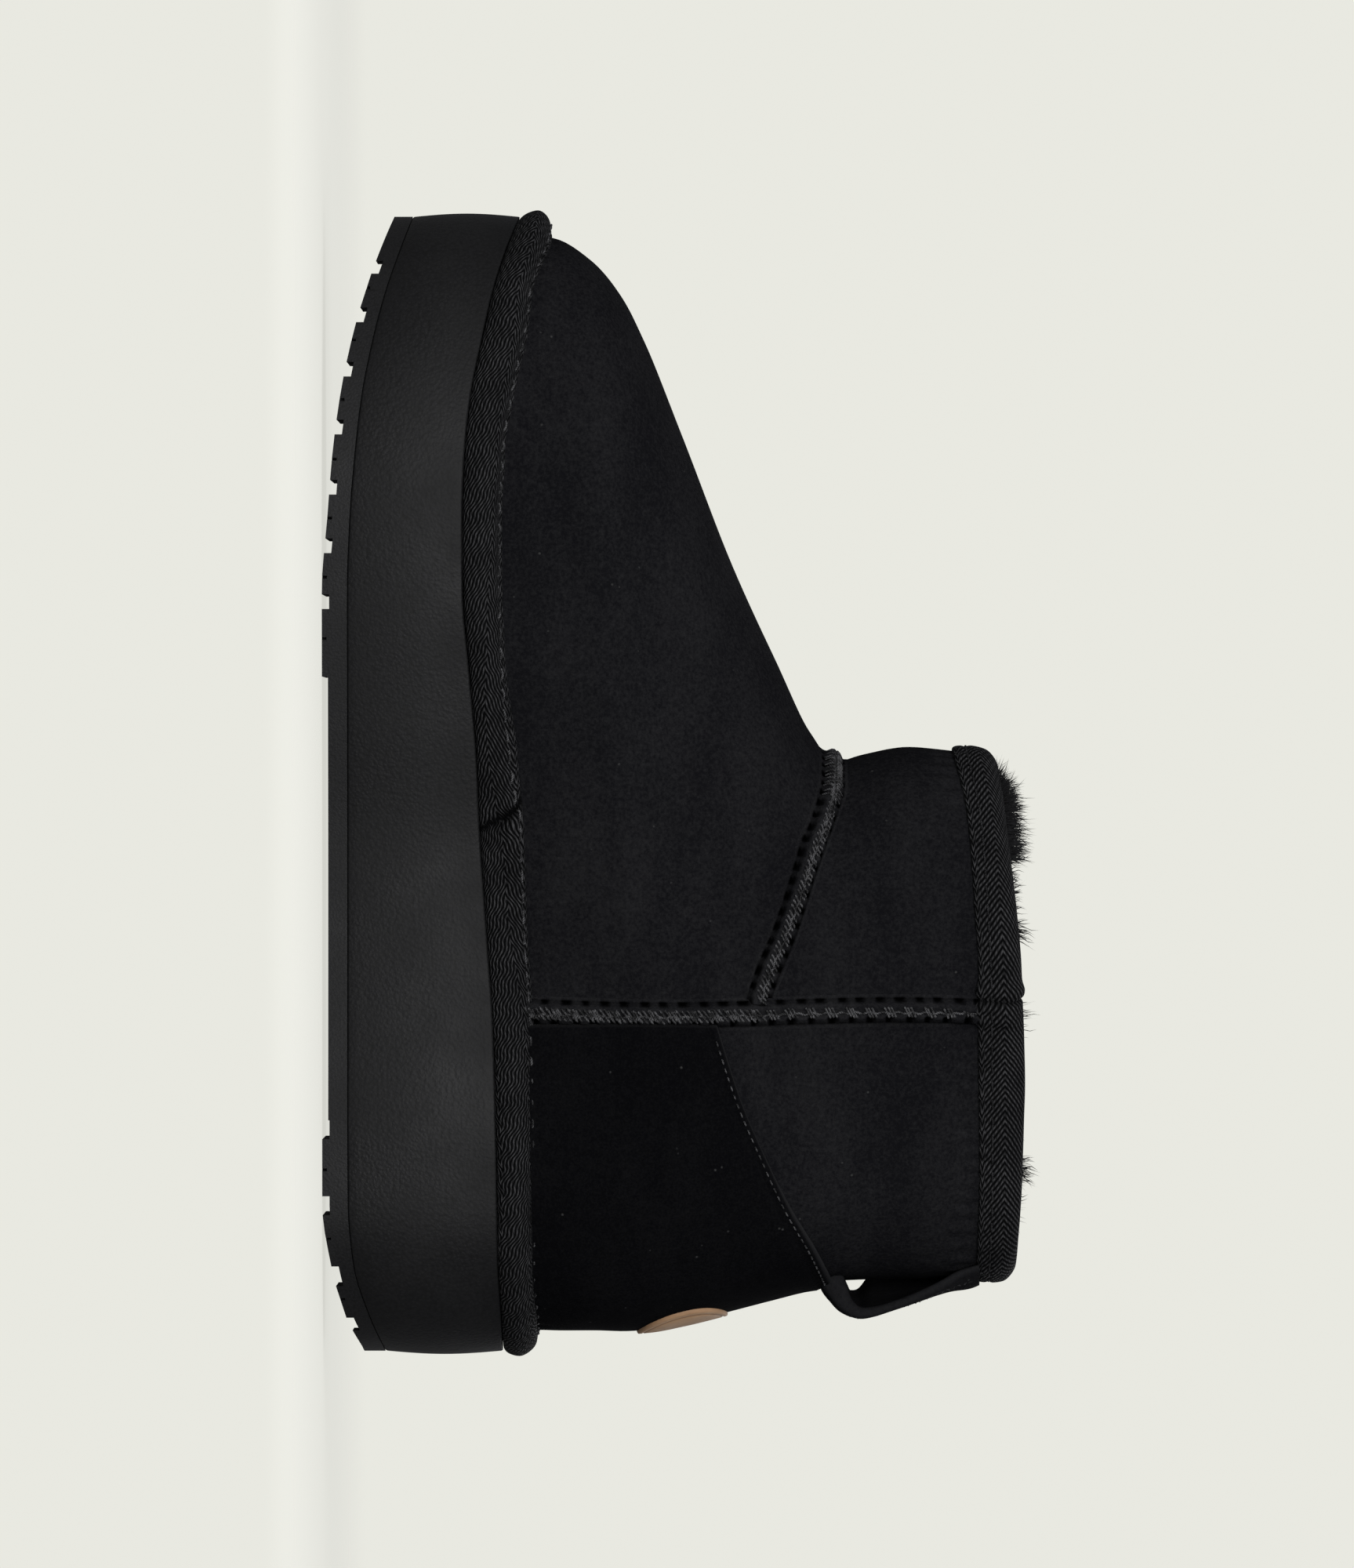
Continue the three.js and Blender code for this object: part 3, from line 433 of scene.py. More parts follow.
def start_finish(name, roughness, gloss, sheen=0.0):
    """A material with its shader; gloss is the strength of the shader's own reflection."""
    material = bpy.data.materials.new(name)
    material.use_nodes = True
    tree = material.node_tree
    shader = tree.nodes["Principled BSDF"]
    shader.inputs["Roughness"].default_value = roughness
    shader.inputs["Specular IOR Level"].default_value = gloss
    shader.inputs["Sheen Weight"].default_value = sheen
    shader.inputs["Sheen Roughness"].default_value = 0.5
    where = tree.nodes.new("ShaderNodeTexCoord").outputs["Object"]
    return material, tree, shader, where


def emboss(tree, shader, height, depth, strength=1.0):
    """Lets a height, 0 to 1, stand up from the surface by this many millimetres."""
    made = place(tree, "Bump", Strength=strength, Distance=depth * MM, Height=height)
    tree.links.new(made.outputs[0], shader.inputs["Normal"])


# Grain of a moulded surface: fine pebbles, faint clouds from the mould and a little dust.
grain, grain_in, grain_out = start_group(
    "moulded_grain",
    [("Where", "Vector", None), ("Pebble", "Float", 0.7), ("Colour", "Color", (0.02, 0.02, 0.02, 1)),
     ("Dust", "Float", 0.1)],
    [("Colour", "Color"), ("Height", "Float"), ("Roughness", "Float")],
)
pebble_scale = reckon(grain, "DIVIDE", 1 / MM, grain_in["Pebble"])
pebbles = place(grain, "TexVoronoi", Vector=grain_in["Where"], Scale=pebble_scale)
pebbles.feature = "SMOOTH_F1"
clouds = speckle(grain, grain_in["Where"], 18, 3)
fine = speckle(grain, grain_in["Where"], 0.35, 2)
rise = reckon(grain, "ADD", reckon(grain, "SUBTRACT", 1.0, pebbles.outputs["Distance"]),
              reckon(grain, "MULTIPLY", fine, 0.5))
dusty = reckon(grain, "MULTIPLY", spread(grain, clouds, 0.45, 0.7), grain_in["Dust"])
shade = tint(grain, spread(grain, rise, 0.55, 1.35, 0.45, 1.0), (0, 0, 0, 1), grain_in["Colour"])
grain.links.new(tint(grain, dusty, shade, (0.05, 0.05, 0.048, 1)), grain_out["Colour"])
grain.links.new(rise, grain_out["Height"])
grain.links.new(spread(grain, clouds, 0.3, 0.75, 0.5, 0.68), grain_out["Roughness"])

rubber, tree, shader, where = start_finish("outsole_rubber", 0.55, 0.18)
moulded = use_group(tree, grain, Where=where, Pebble=0.5, Colour=(0.0105, 0.0105, 0.0112, 1), Dust=0.05)
fill(tree, shader.inputs["Base Color"], moulded["Colour"])
fill(tree, shader.inputs["Roughness"], moulded["Roughness"])
emboss(tree, shader, moulded["Height"], 0.05)

sole_mesh = sole_block.data
sole_mesh.materials.clear()
sole_mesh.polygons.foreach_set("use_smooth", np.ones(len(sole_mesh.polygons), bool))
bpy.data.objects.remove(sole_block)
outsole = add_piece("outsole_rubber_unit", sole_mesh, rubber, ["outsole"])
soften = outsole.modifiers.new("moulded_edges", "BEVEL")
soften.width = 0.3 * MM
soften.segments = 2
soften.limit_method = "ANGLE"
soften.angle_limit = 0.7
soften.harden_normals = True

# ---------------------------------------------------------------------------
# Platform midsole: one thick wedge of light foam rubber between outsole and binding. Its wall is
# moulded with a fine pebble, nearly upright and rounded at both edges, where painted shade darkens its
# colour.
WALL_ROWS = 16
EDGE_ROUND = 0.5


def close_across(first, count):
    """Faces that close a ring of points by strips from its one side to the other."""
    i = np.arange(1, count // 2 - 1)
    inner, outer = first + i, first + count - i
    strips = np.stack([inner, inner + 1, outer - 1, outer], -1)
    at_heel = [[first, first + 1, first + count - 1]]
    at_toe = [[first + count // 2 - 1, first + count // 2, first + count // 2 + 1]]
    return strips, np.array(at_heel), np.array(at_toe)


def platform():
    count = 720
    turns = np.linspace(0, 1, count, endpoint=False)
    round_off = np.array([(1, 0), (0.5, 0.12), (0.15, 0.42), (0, 1)]) * EDGE_ROUND
    rows = [(inset, "low", up) for inset, up in round_off]
    rows += [(0.0, "share", k / WALL_ROWS) for k in range(1, WALL_ROWS)]
    rows += [(inset, "high", up) for inset, up in round_off[::-1]]
    rings, painted_edge_shade = [], []
    for inset, kind, value in rows:
        flat = sole_outline(turns, SOLE_INSET + inset)
        low, high = joint_at(flat[:, 0]) + GAP / 2, top_at(flat[:, 0])
        if kind == "share":
            z = low + EDGE_ROUND + (high - low - 2 * EDGE_ROUND) * value
            belly = 0.75 * np.sin(np.pi * value)
            flat = sole_outline(turns, SOLE_INSET - belly)
        else:
            z = low + value if kind == "low" else high - value
        rings.append(np.column_stack([flat, z]))
        # The edge mark is 1 at the wall's top and bottom and fades within about 5 mm; it is used for
        # painted shade.
        painted_edge_shade.append(np.exp(-((np.minimum(z - low, high - z) / 5) ** 2)))
    points = np.concatenate(rings)
    i = np.arange(count)
    j = (i + 1) % count
    walls = np.concatenate(
        [np.stack([r * count + i, (r + 1) * count + i, (r + 1) * count + j, r * count + j], -1)
         for r in range(len(rings) - 1)]
    )
    below = close_across(0, count)
    above = close_across((len(rings) - 1) * count, count)
    return make_mesh("platform", points, [walls, *below, *above], {"edge": np.concatenate(painted_edge_shade)})


def mark_of(tree, name):
    made = place(tree, "Attribute")
    made.attribute_name = name
    return made.outputs["Fac"]


foam, tree, shader, where = start_finish("midsole_foam", 0.6, 0.17)
moulded = use_group(tree, grain, Where=where, Pebble=0.75, Colour=(0.0098, 0.0098, 0.0105, 1), Dust=0.04)
# Painted shade: the colour darkens towards the wall's top and bottom edges.
at_edge = reckon(tree, "MULTIPLY", mark_of(tree, "edge"), 0.4)
fill(tree, shader.inputs["Base Color"], tint(tree, at_edge, moulded["Colour"], (0.002, 0.002, 0.0023, 1)))
fill(tree, shader.inputs["Roughness"], moulded["Roughness"])
emboss(tree, shader, moulded["Height"], 0.09)
add_piece("midsole_platform", platform(), foam, ["midsole"])

# ---------------------------------------------------------------------------
# Upper: sheepskin, suede side out and fur side in, cut as vamp, quarters and a short shaft and
# pulled over a last. Rings go round it from the back of the heel; the fur counts in its wall.
WALL = 10
RIM_WALL = 5.6
TURN_STEPS = 1440
RING_STEPS = 24
RINGS = {
    "name": ["foot", "tape", "toe", "toecap", "vamp", "ball", "instep", "high_instep",
             "under_throat", "throat", "ankle", "shaft", "under_collar", "collar"],
    "back_x": [-127.2, -126.1, -126, -126.2, -125.8, -124.2, -121.7, -119, -117, -116.3, -116,
               -115.9, -115.6, -114.3],
    "back_z": [0, 0, 63, 70, 76, 84.5, 94.5, 105, 113.5, 120.5, 128, 138, 149, 159.2],
    "front_x": [128.4, 127.9, 122.4, 113.8, 102.9, 80.5, 51.1, 28.9, 12.2, 5.4, 7, 8.7, 8, 6.1],
    "front_z": [0, 0, 62.5, 69.7, 75.2, 84, 95.6, 105.8, 113.8, 119.8, 126.4, 136.5, 146, 155],
    "rise": [0, 0, 0, 0, 0, 0, 0, 0, 0, 0, 0.5, 1.2, 2.4, 3.5],
}
# Breadths at every 36 degrees from heel to toe, then the sideways place of back and front.
GIRTH_RINGS = ["foot", "toe", "ball", "high_instep", "throat", "shaft", "collar"]
GIRTHS = {
    "inner": [[77, 57.5, 34.7, 42.8, 57, 62], [74, 56, 38.6, 42, 53, 67],
              [69, 54.5, 39.6, 35.6, 42.6, 49], [58, 49.5, 38.7, 38, 37.2, 40],
              [51, 46.5, 37.2, 39.3, 39, 38], [43, 40.5, 34.7, 38.4, 38.6, 37],
              [31, 30, 28, 35.4, 32.5, 33.5]],
    "outer": [[79, 57.5, 48.8, 56.4, 62.5, 66], [76, 56.5, 49.8, 55.5, 59.5, 70],
              [69, 52.7, 49, 45, 47.3, 50], [57, 46, 44.6, 41.8, 38.6, 40],
              [50, 43, 43, 40.2, 39, 38], [44, 40.5, 41.7, 38.4, 38, 37],
              [32, 34, 36.8, 33.5, 33, 33.5]],
    "back_y": [0.8, 0.5, -1.5, -3.5, -4.7, -5.5, -6],
    "front_y": [8, 7.6, 4, -1.2, -2.8, -3.2, -3.5],
}
# Soft folds: middle, half length and direction of each, its half width, and its depth below
# the suede. A ridge has a depth below nothing.
FOLDS = {
    "side": ["inner", "outer", "inner", "outer", "inner", "inner", "outer", "inner", "outer", "inner"],
    "x": [-20, -22, 22, 18, -84, -28, -30, 66, 60, -96],
    "z": [100, 99, 92, 93, 134, 136, 137, 74, 73, 122],
    "long": [30, 28, 34, 32, 22, 20, 22, 26, 24, 18],
    "rise": [0.45, 0.45, -0.35, -0.4, 0.2, -0.25, -0.3, -0.15, -0.2, 0.9],
    "wide": [7, 7, 11, 11, 8, 9, 9, 13, 12, 6],
    "depth": [0.9, 0.9, 0.7, 0.8, 0.8, 0.7, 0.8, -0.5, -0.5, 0.6],
}
TOP_LEVEL = len(RINGS["name"]) - 1
PUCKER_LONG = 4.9


def ring_points(turn):
    """Every ring's points at these turns, as rings, turns and x, y, z."""
    share = (1 - np.cos(2 * np.pi * turn)) / 2
    sine = np.sin(2 * np.pi * turn)
    station = np.arccos(np.clip(1 - 2 * share, -1, 1)) / np.pi * 5
    i = np.minimum(station.astype(int), 4)
    known = [RINGS["name"].index(name) for name in GIRTH_RINGS]
    rings = []
    for k in range(TOP_LEVEL + 1):
        breadths = {}
        for side in ("inner", "outer"):
            table = np.array(GIRTHS[side], float)
            at = np.array([curve_through(known, column)(k) for column in table.T])
            corner = [at[np.clip(i + step, 0, 5)] for step in (-1, 0, 1, 2)]
            breadths[side] = curve_between(*corner, station - i)
        breadth = np.where(sine >= 0, breadths["inner"], breadths["outer"])
        back_y = curve_through(known, GIRTHS["back_y"])(k)
        front_y = curve_through(known, GIRTHS["front_y"])(k)
        x = RINGS["back_x"][k] + (RINGS["front_x"][k] - RINGS["back_x"][k]) * share
        y = back_y + (front_y - back_y) * share + sine * breadth
        z = RINGS["back_z"][k] + (RINGS["front_z"][k] - RINGS["back_z"][k]) * share
        z = z + RINGS["rise"][k] * sine**2
        if k == 0:
            z = top_at(x) + GAP
        if k == 1:
            z = tape_at(x)
        rings.append(np.stack([x, y, z], -1))
    return np.stack(rings)


def curve_between(p0, p1, p2, p3, u):
    """A curve from p1 to p2 that never overshoots."""
    return run_between(p1, even_slope(p1 - p0, p2 - p1), p2, even_slope(p2 - p1, p3 - p2), u)


def unit(vectors):
    return vectors / np.maximum(np.linalg.norm(vectors, axis=-1, keepdims=True), 1e-9)


def outward(surface):
    """The direction out of a surface of levels and turns."""
    up = np.gradient(surface, axis=0)
    on = np.gradient(np.concatenate([surface[:, -2:-1], surface, surface[:, 1:2]], 1), axis=1)
    return unit(np.cross(up, on[:, 1:-1]))


def last_surface():
    """The suede's surface as a fine grid of levels and turns, with its soft folds."""
    turn = np.linspace(0, 1, TURN_STEPS + 1)
    rings = ring_points(turn)
    below, above = 2 * rings[:1] - rings[1:2], 2 * rings[-1:] - rings[-2:-1]
    rings = np.concatenate([below, rings, above])
    level = np.linspace(0, TOP_LEVEL, TOP_LEVEL * RING_STEPS + 1)
    i = np.minimum(level.astype(int), TOP_LEVEL - 1)
    u = (level - i)[:, None, None]
    surface = curve_between(rings[i], rings[i + 1], rings[i + 2], rings[i + 3], u)
    sink = np.zeros(surface.shape[:2])
    for side, x, z, long, rise, wide, depth in zip(*FOLDS.values()):
        here = (turn < 0.5) == (side == "inner")
        run = np.hypot(1, rise)
        dx, dz = surface[..., 0] - x, surface[..., 2] - z
        on, off = (dx + dz * rise) / run, (dz - dx * rise) / run
        bow = off - 3 * (on / long) ** 2
        sink += here * depth * np.exp(-((on / long) ** 2) * 1.5 - (bow / wide) ** 2)
    on = np.linalg.norm(np.diff(surface[RING_STEPS], axis=0, prepend=surface[RING_STEPS][:1]), axis=-1)
    above = surface[..., 2] - tape_at(surface[..., 0])
    drawn_in = 0.5 + 0.5 * np.cos(2 * np.pi * np.cumsum(on) / PUCKER_LONG)
    sink += 0.35 * (0.4 + drawn_in) * np.exp(-((np.clip(above, 0, 99) / 3.2) ** 2))
    below = surface[-1:, :, 2] - surface[..., 2]
    drawn_in = 0.5 + 0.5 * np.cos(2 * np.pi * np.cumsum(on) / (1.6 * PUCKER_LONG) + 1.5 * np.sin(turn * 40))
    sink += 0.5 * drawn_in * np.exp(-(((below - 10) / 3) ** 2))
    return surface - sink[..., None] * outward(surface)


LAST = last_surface()
LAST_OUT = outward(LAST)


def look_up(grid, turn, level):
    """A value of a fine grid between its levels and turns."""
    turn, level = np.broadcast_arrays(np.asarray(turn, float), np.asarray(level, float))
    across = (turn % 1) * TURN_STEPS
    up = np.clip(level, 0, TOP_LEVEL) * RING_STEPS
    c = np.minimum(across.astype(int), TURN_STEPS - 1)
    r = np.minimum(up.astype(int), len(grid) - 2)
    fc, fr = (across - c)[..., None], (up - r)[..., None]
    low = grid[r, c] * (1 - fc) + grid[r, c + 1] * fc
    high = grid[r + 1, c] * (1 - fc) + grid[r + 1, c + 1] * fc
    return low * (1 - fr) + high * fr


def suede_at(turn, level, out=0.0):
    """Points this far outside the suede. At both rims the way out is level."""
    way = unit(look_up(LAST_OUT, turn, level))
    level = np.broadcast_to(np.asarray(level, float), way.shape[:-1])
    to_rim = np.minimum(level, TOP_LEVEL - level)
    way = way * np.stack([np.ones_like(to_rim)] * 2 + [np.clip(to_rim, 0, 1)], -1)
    return look_up(LAST, turn, level) + unit(way) * np.asarray(out, float)[..., None]


def wall_at(level):
    """Thickness of suede and fur, which the collar binding presses flat."""
    return WALL + (RIM_WALL - WALL) * np.clip((level - TOP_LEVEL + 2) / 2, 0, 1)


def level_at(turn, z):
    """The level where the suede reaches a height."""
    turn, z = np.broadcast_arrays(np.asarray(turn, float), np.asarray(z, float))
    low, high = np.zeros(turn.shape), np.full(turn.shape, float(TOP_LEVEL))
    for _ in range(18):
        middle = (low + high) / 2
        under = look_up(LAST, turn, middle)[..., 2] < z
        low, high = np.where(under, middle, low), np.where(under, high, middle)
    return (low + high) / 2


def turn_at(x, z, side):
    """The turn, on one side of the boot, where the suede at a height reaches x."""
    x, z = np.broadcast_arrays(np.asarray(x, float), np.asarray(z, float))
    near, far = np.zeros(x.shape), np.full(x.shape, 0.5)
    for _ in range(18):
        middle = (near + far) / 2
        turn = middle if side == "inner" else 1 - middle
        behind = look_up(LAST, turn, level_at(turn, z))[..., 0] < x
        near, far = np.where(behind, middle, near), np.where(behind, far, middle)
    return (near + far) / 2 if side == "inner" else 1 - (near + far) / 2


# Suede: short brushed nap, with clouds where it has been stroked one way or the other, a fine
# grain of fibre ends and a few pale fibres.
nap, nap_in, nap_out = start_group(
    "brushed_nap",
    [("Where", "Vector", None), ("Dark", "Color", (0.008, 0.008, 0.009, 1)),
     ("Light", "Color", (0.02, 0.02, 0.021, 1)), ("Clouds", "Float", 0.5), ("Grain", "Float", 0.7)],
    [("Colour", "Color"), ("Height", "Float"), ("Roughness", "Float")],
)
strokes = place(nap, "Mapping", Vector=nap_in["Where"], Scale=(0.6, 0.6, 1.5))
broad = speckle(nap, strokes.outputs[0], 26, 4, 0.55)
small = speckle(nap, nap_in["Where"], 1.9, 3, 0.6)
fibre_size = reckon(nap, "DIVIDE", 1 / MM, nap_in["Grain"])
fibres = place(nap, "TexNoise", Vector=nap_in["Where"], Scale=fibre_size, Detail=3.0, Roughness=0.7)
stroked = reckon(nap, "MULTIPLY", spread(nap, broad, 0.35, 0.65), nap_in["Clouds"])
lit = reckon(nap, "ADD", stroked, spread(nap, small, 0.3, 0.7, -0.13, 0.16))
lit = reckon(nap, "ADD", lit, spread(nap, fibres.outputs[0], 0.3, 0.72, -0.3, 0.55))
nap_colour = tint(nap, reckon(nap, "MAXIMUM", lit, 0.0), nap_in["Dark"], nap_in["Light"])
ends = place(nap, "TexVoronoi", Vector=nap_in["Where"], Scale=420)
rare = speckle(nap, nap_in["Where"], 5, 1)
fleck = reckon(nap, "MULTIPLY", spread(nap, ends.outputs["Distance"], 0.16, 0.05),
               spread(nap, rare, 0.66, 0.7))
nap.links.new(tint(nap, fleck, nap_colour, (0.035, 0.035, 0.035, 1)), nap_out["Colour"])
nap.links.new(reckon(nap, "ADD", fibres.outputs[0], reckon(nap, "MULTIPLY", small, 0.8)),
              nap_out["Height"])
nap.links.new(spread(nap, broad, 0.3, 0.7, 0.98, 0.86), nap_out["Roughness"])


def suede_finish(name, dark, light, clouds, grain_size, depth):
    """A suede of two near shades."""
    material, tree, shader, where = start_finish(name, 0.95, 0.02)
    brushed = use_group(tree, nap, Where=where, Dark=(*dark, 1), Light=(*light, 1), Clouds=clouds,
                        Grain=grain_size)
    fill(tree, shader.inputs["Base Color"], brushed["Colour"])
    fill(tree, shader.inputs["Roughness"], brushed["Roughness"])
    emboss(tree, shader, brushed["Height"], depth)
    return material, tree, shader, where, brushed


suede = suede_finish("suede", (0.0050, 0.0050, 0.0060), (0.0150, 0.0150, 0.0160), 0.35, 0.8, 0.2)[0]


def suede_shell():
    """The whole upper: suede outside, rolled over at both rims, and the skin's fur side within."""
    turns = np.linspace(0, 1, 441)[:-1]
    outer = np.r_[np.linspace(0, 2, 14)[:-1], np.linspace(2, TOP_LEVEL, 100)]
    inner = np.linspace(TOP_LEVEL, 0, 46)
    rows = [suede_at(turns, level) for level in outer]
    rows += [suede_at(turns, level, -wall_at(level) + 2.5) for level in inner]
    points = np.stack(rows + rows[:1])
    points = np.concatenate([points, points[:, :1]], 1)
    count = points.shape[1]
    faces = grid_faces(points.shape[0], count)
    r, c = np.divmod(faces, count)
    faces = (r % len(rows)) * (count - 1) + c % (count - 1)
    return make_mesh("suede_shell", np.concatenate(rows), [faces[:, ::-1]])


add_piece("upper_sheepskin", suede_shell(), suede, ["upper"])

# ---------------------------------------------------------------------------
# Fur lining: the wool of the sheepskin itself, dyed black, clipped to an even pile and brushed
# into soft tufts. It fills the inside from the collar to the toe, and a few tips stand over the
# rim. Each tuft is a small curved ribbon that thins to its tip.
TUFT_WIDE = 0.42
ROOT_DEEP = 3
RIM_ROOT_DEEP = 1.2
RIM_ROOT_LOW = 1.4
RIM_Z = 158
FUR_ZONES = {
    "name": ["fur_collar", "fur_shaft", "fur_foot"],
    "from_level": [10.6, 7.6, 0.4],
    "to_level": [12.75, 10.9, 8.0],
    "tufts": [25000, 21000, 14000],
    "long": [5.8, 5.2, 4.8],
}
# Places along the rim where the pile stands higher than the binding.
RIM_TUFTS = {
    "from_x": [-13.5, -7, -27, -33.5, -57, -96, -110, -90, 1],
    "to_x": [5.6, 4, -12.5, -30, -54, -92, -99, -60, 5.6],
    "tufts": [1500, 500, 240, 90, 40, 120, 60, 60, 800],
    "up": [10.0, 11.2, 7.6, 10.2, 8.2, 9.2, 6.6, 5.8, 10.4],
    "least_lean": [0, 0, 0, 0, 0, 0, 0, 0, 0.5],
    "most_lean": [0.8, 0.8, 0.8, 0.8, 0.8, 0.8, 0.8, 0.8, 1.15],
}


def drift(points, size, seed):
    """Smooth random directions in space, in patches of about this many millimetres."""
    table = np.random.default_rng(seed).uniform(-1, 1, (24, 24, 24, 3))
    at = points / size + 100
    cell = np.floor(at).astype(int)
    f = at - cell
    f = f * f * (3 - 2 * f)
    total = np.zeros(points.shape)
    for corner in np.ndindex(2, 2, 2):
        share = np.prod(np.where(corner, f, 1 - f), axis=-1, keepdims=True)
        x, y, z = np.moveaxis((cell + corner) % 24, -1, 0)
        total += share * table[x, y, z]
    return total


def tufts_of_wool(name, roots, out, long, seed, lean=0.55, wide=TUFT_WIDE):
    """Curved ribbons that stand on their roots and lean together in swirls."""
    chance = np.random.default_rng(seed)
    count = len(roots)
    side_way = drift(roots, 11, seed) * 1.5 + drift(roots, 3.5, seed + 1) * 0.8
    side_way += chance.normal(0, 0.28, (count, 3))
    side_way -= out * np.sum(side_way * out, -1, keepdims=True)
    long = long * chance.uniform(0.75, 1.12, count)
    wide = wide * chance.uniform(0.6, 1.3, count)
    flat = unit(np.cross(out + side_way * 0.3, chance.normal(0, 1, (count, 3))))
    share = np.array([0, 0.42, 0.76, 1])
    bend = lean * share**1.6
    curl = 0.1 * np.sin(share * 6)
    line = roots[:, None] + long[:, None, None] * (
        out[:, None] * (share - 0.12 * share**2)[None, :, None]
        + side_way[:, None] * bend[None, :, None]
        + flat[:, None] * (curl[None, :, None] * chance.uniform(-1, 1, count)[:, None, None])
    )
    half = flat[:, None] * wide[:, None, None] * np.array([0.5, 0.46, 0.3])[None, :, None]
    points = np.concatenate([line[:, :3] - half, line[:, :3] + half, line[:, 3:]], 1)
    first = np.arange(count)[:, None] * 7
    quads = np.concatenate([first + [0, 3, 4, 1], first + [1, 4, 5, 2]])
    tips = first + [2, 5, 6]
    to_tip = np.tile(np.r_[share[:3], share[:3], 1], count)
    shade = np.repeat(chance.uniform(0, 1, count), 7)
    return make_mesh(name, points.reshape(-1, 3), [quads, tips], {"to_tip": to_tip, "shade": shade})


def scatter(low, high, count, seed):
    """Even random turns and levels between two levels."""
    chance = np.random.default_rng(seed)
    rows, columns = np.arange(int(low * RING_STEPS), int(high * RING_STEPS)), TURN_STEPS
    up = np.linalg.norm(LAST[rows + 1, :-1] - LAST[rows, :-1], axis=-1)
    on = np.linalg.norm(LAST[rows, 1:] - LAST[rows, :-1], axis=-1)
    room = np.cumsum((up * on).ravel())
    cell = np.searchsorted(room, chance.uniform(0, room[-1], count))
    r, c = np.divmod(cell, columns)
    turn = (c + chance.uniform(0, 1, count)) / TURN_STEPS
    level = (rows[r] + chance.uniform(0, 1, count)) / RING_STEPS
    return turn, level


wool, tree, shader, where = start_finish("fur", 0.75, 0.12, 0.05)
to_tip = place(tree, "Attribute")
to_tip.attribute_name = "to_tip"
lock = place(tree, "Attribute")
lock.attribute_name = "shade"
swirl = speckle(tree, where, 9, 3, 0.6)
# Painted sheen: the colour grows paler towards each tuft's tip, in swirls, as tips catching light; the
# shade mark adds a random tone to each tuft.
painted_tip_sheen_and_tone = reckon(tree, "MULTIPLY", spread(tree, to_tip.outputs["Fac"], 0.2, 1), 0.6)
painted_tip_sheen_and_tone = reckon(tree, "MULTIPLY", painted_tip_sheen_and_tone, spread(tree, swirl, 0.35, 0.7, 0.35, 1.3))
painted_tip_sheen_and_tone = reckon(tree, "ADD", painted_tip_sheen_and_tone, reckon(tree, "MULTIPLY", lock.outputs["Fac"], 0.12))
fill(tree, shader.inputs["Base Color"],
     tint(tree, painted_tip_sheen_and_tone, (0.0028, 0.0028, 0.0032, 1), (0.021, 0.021, 0.023, 1)))
fill(tree, shader.inputs["Roughness"], spread(tree, swirl, 0.3, 0.7, 0.82, 0.66))
emboss(tree, shader, speckle(tree, where, 0.5, 2), 0.1)

for i, (name, low, high, count, long) in enumerate(zip(*FUR_ZONES.values())):
    turn, level = scatter(low, high, count, 40 + i)
    standing = -unit(look_up(LAST_OUT, turn, level))
    roots = suede_at(turn, level, -wall_at(level) + ROOT_DEEP)
    lift = 0.35 * np.clip((level - 11.2) / 1.4, 0, 1)[:, None] * np.array([0, 0, 1.0])
    add_piece(name, tufts_of_wool(name, roots, unit(standing + lift), long, 50 + i), wool)

rim_turn, rim_up, rim_lean = [], [], []
for i, (from_x, to_x, count, up, least, most) in enumerate(zip(*RIM_TUFTS.values())):
    for side in ("inner", "outer"):
        chance = np.random.default_rng(90 + i)
        rim_turn.append(turn_at(chance.uniform(from_x, to_x, count // 2), RIM_Z, side))
        rim_up.append(up * chance.uniform(0.68, 1.06, count // 2))
        rim_lean.append(chance.uniform(least, most, (count // 2, 1)))
rim_turn, rim_up, rim_lean = (np.concatenate(part) for part in (rim_turn, rim_up, rim_lean))
chance = np.random.default_rng(7)
deep = chance.uniform(0.6, 3.2, len(rim_turn))
rim_roots = suede_at(rim_turn, TOP_LEVEL, -RIM_WALL - RIM_ROOT_DEEP - deep) - (0, 0, RIM_ROOT_LOW)
leaning = suede_at(rim_turn, TOP_LEVEL, 1) - suede_at(rim_turn, TOP_LEVEL, 0)
stand = unit(np.array([0, 0, 1.0]) + leaning * rim_lean)
rim_wool = tufts_of_wool("fur_over_rim", rim_roots, stand, rim_up, 99, 0.28, 0.3)
add_piece("fur_over_rim", rim_wool, wool)

# ---------------------------------------------------------------------------
# Insole: a foam footbed covered with the same wool, cut to the inside of the upper and lying on
# the platform. It is slightly dished under the heel.
INSOLE_THICK = 5.5
INSOLE_CLEAR = 1.8
INSOLE_RINGS = 26
INSOLE_TUFTS = 17000


def insole_height(x, share):
    dish = 1.2 * np.exp(-(((x + 78) / 30) ** 2)) * (1 - share**2)
    return top_at(x) + GAP + INSOLE_THICK - 1.6 - dish


def footbed_plan(turns):
    """From above: the bed's rim at these turns, and the line along its middle that each faces."""
    rim = suede_at(turns, 0.0, -WALL - INSOLE_CLEAR)[:, :2]
    return rim, np.column_stack([rim[:, 0] * 0.72 - 2, np.interp(rim[:, 0], [-120, 120], [0.8, 6])])


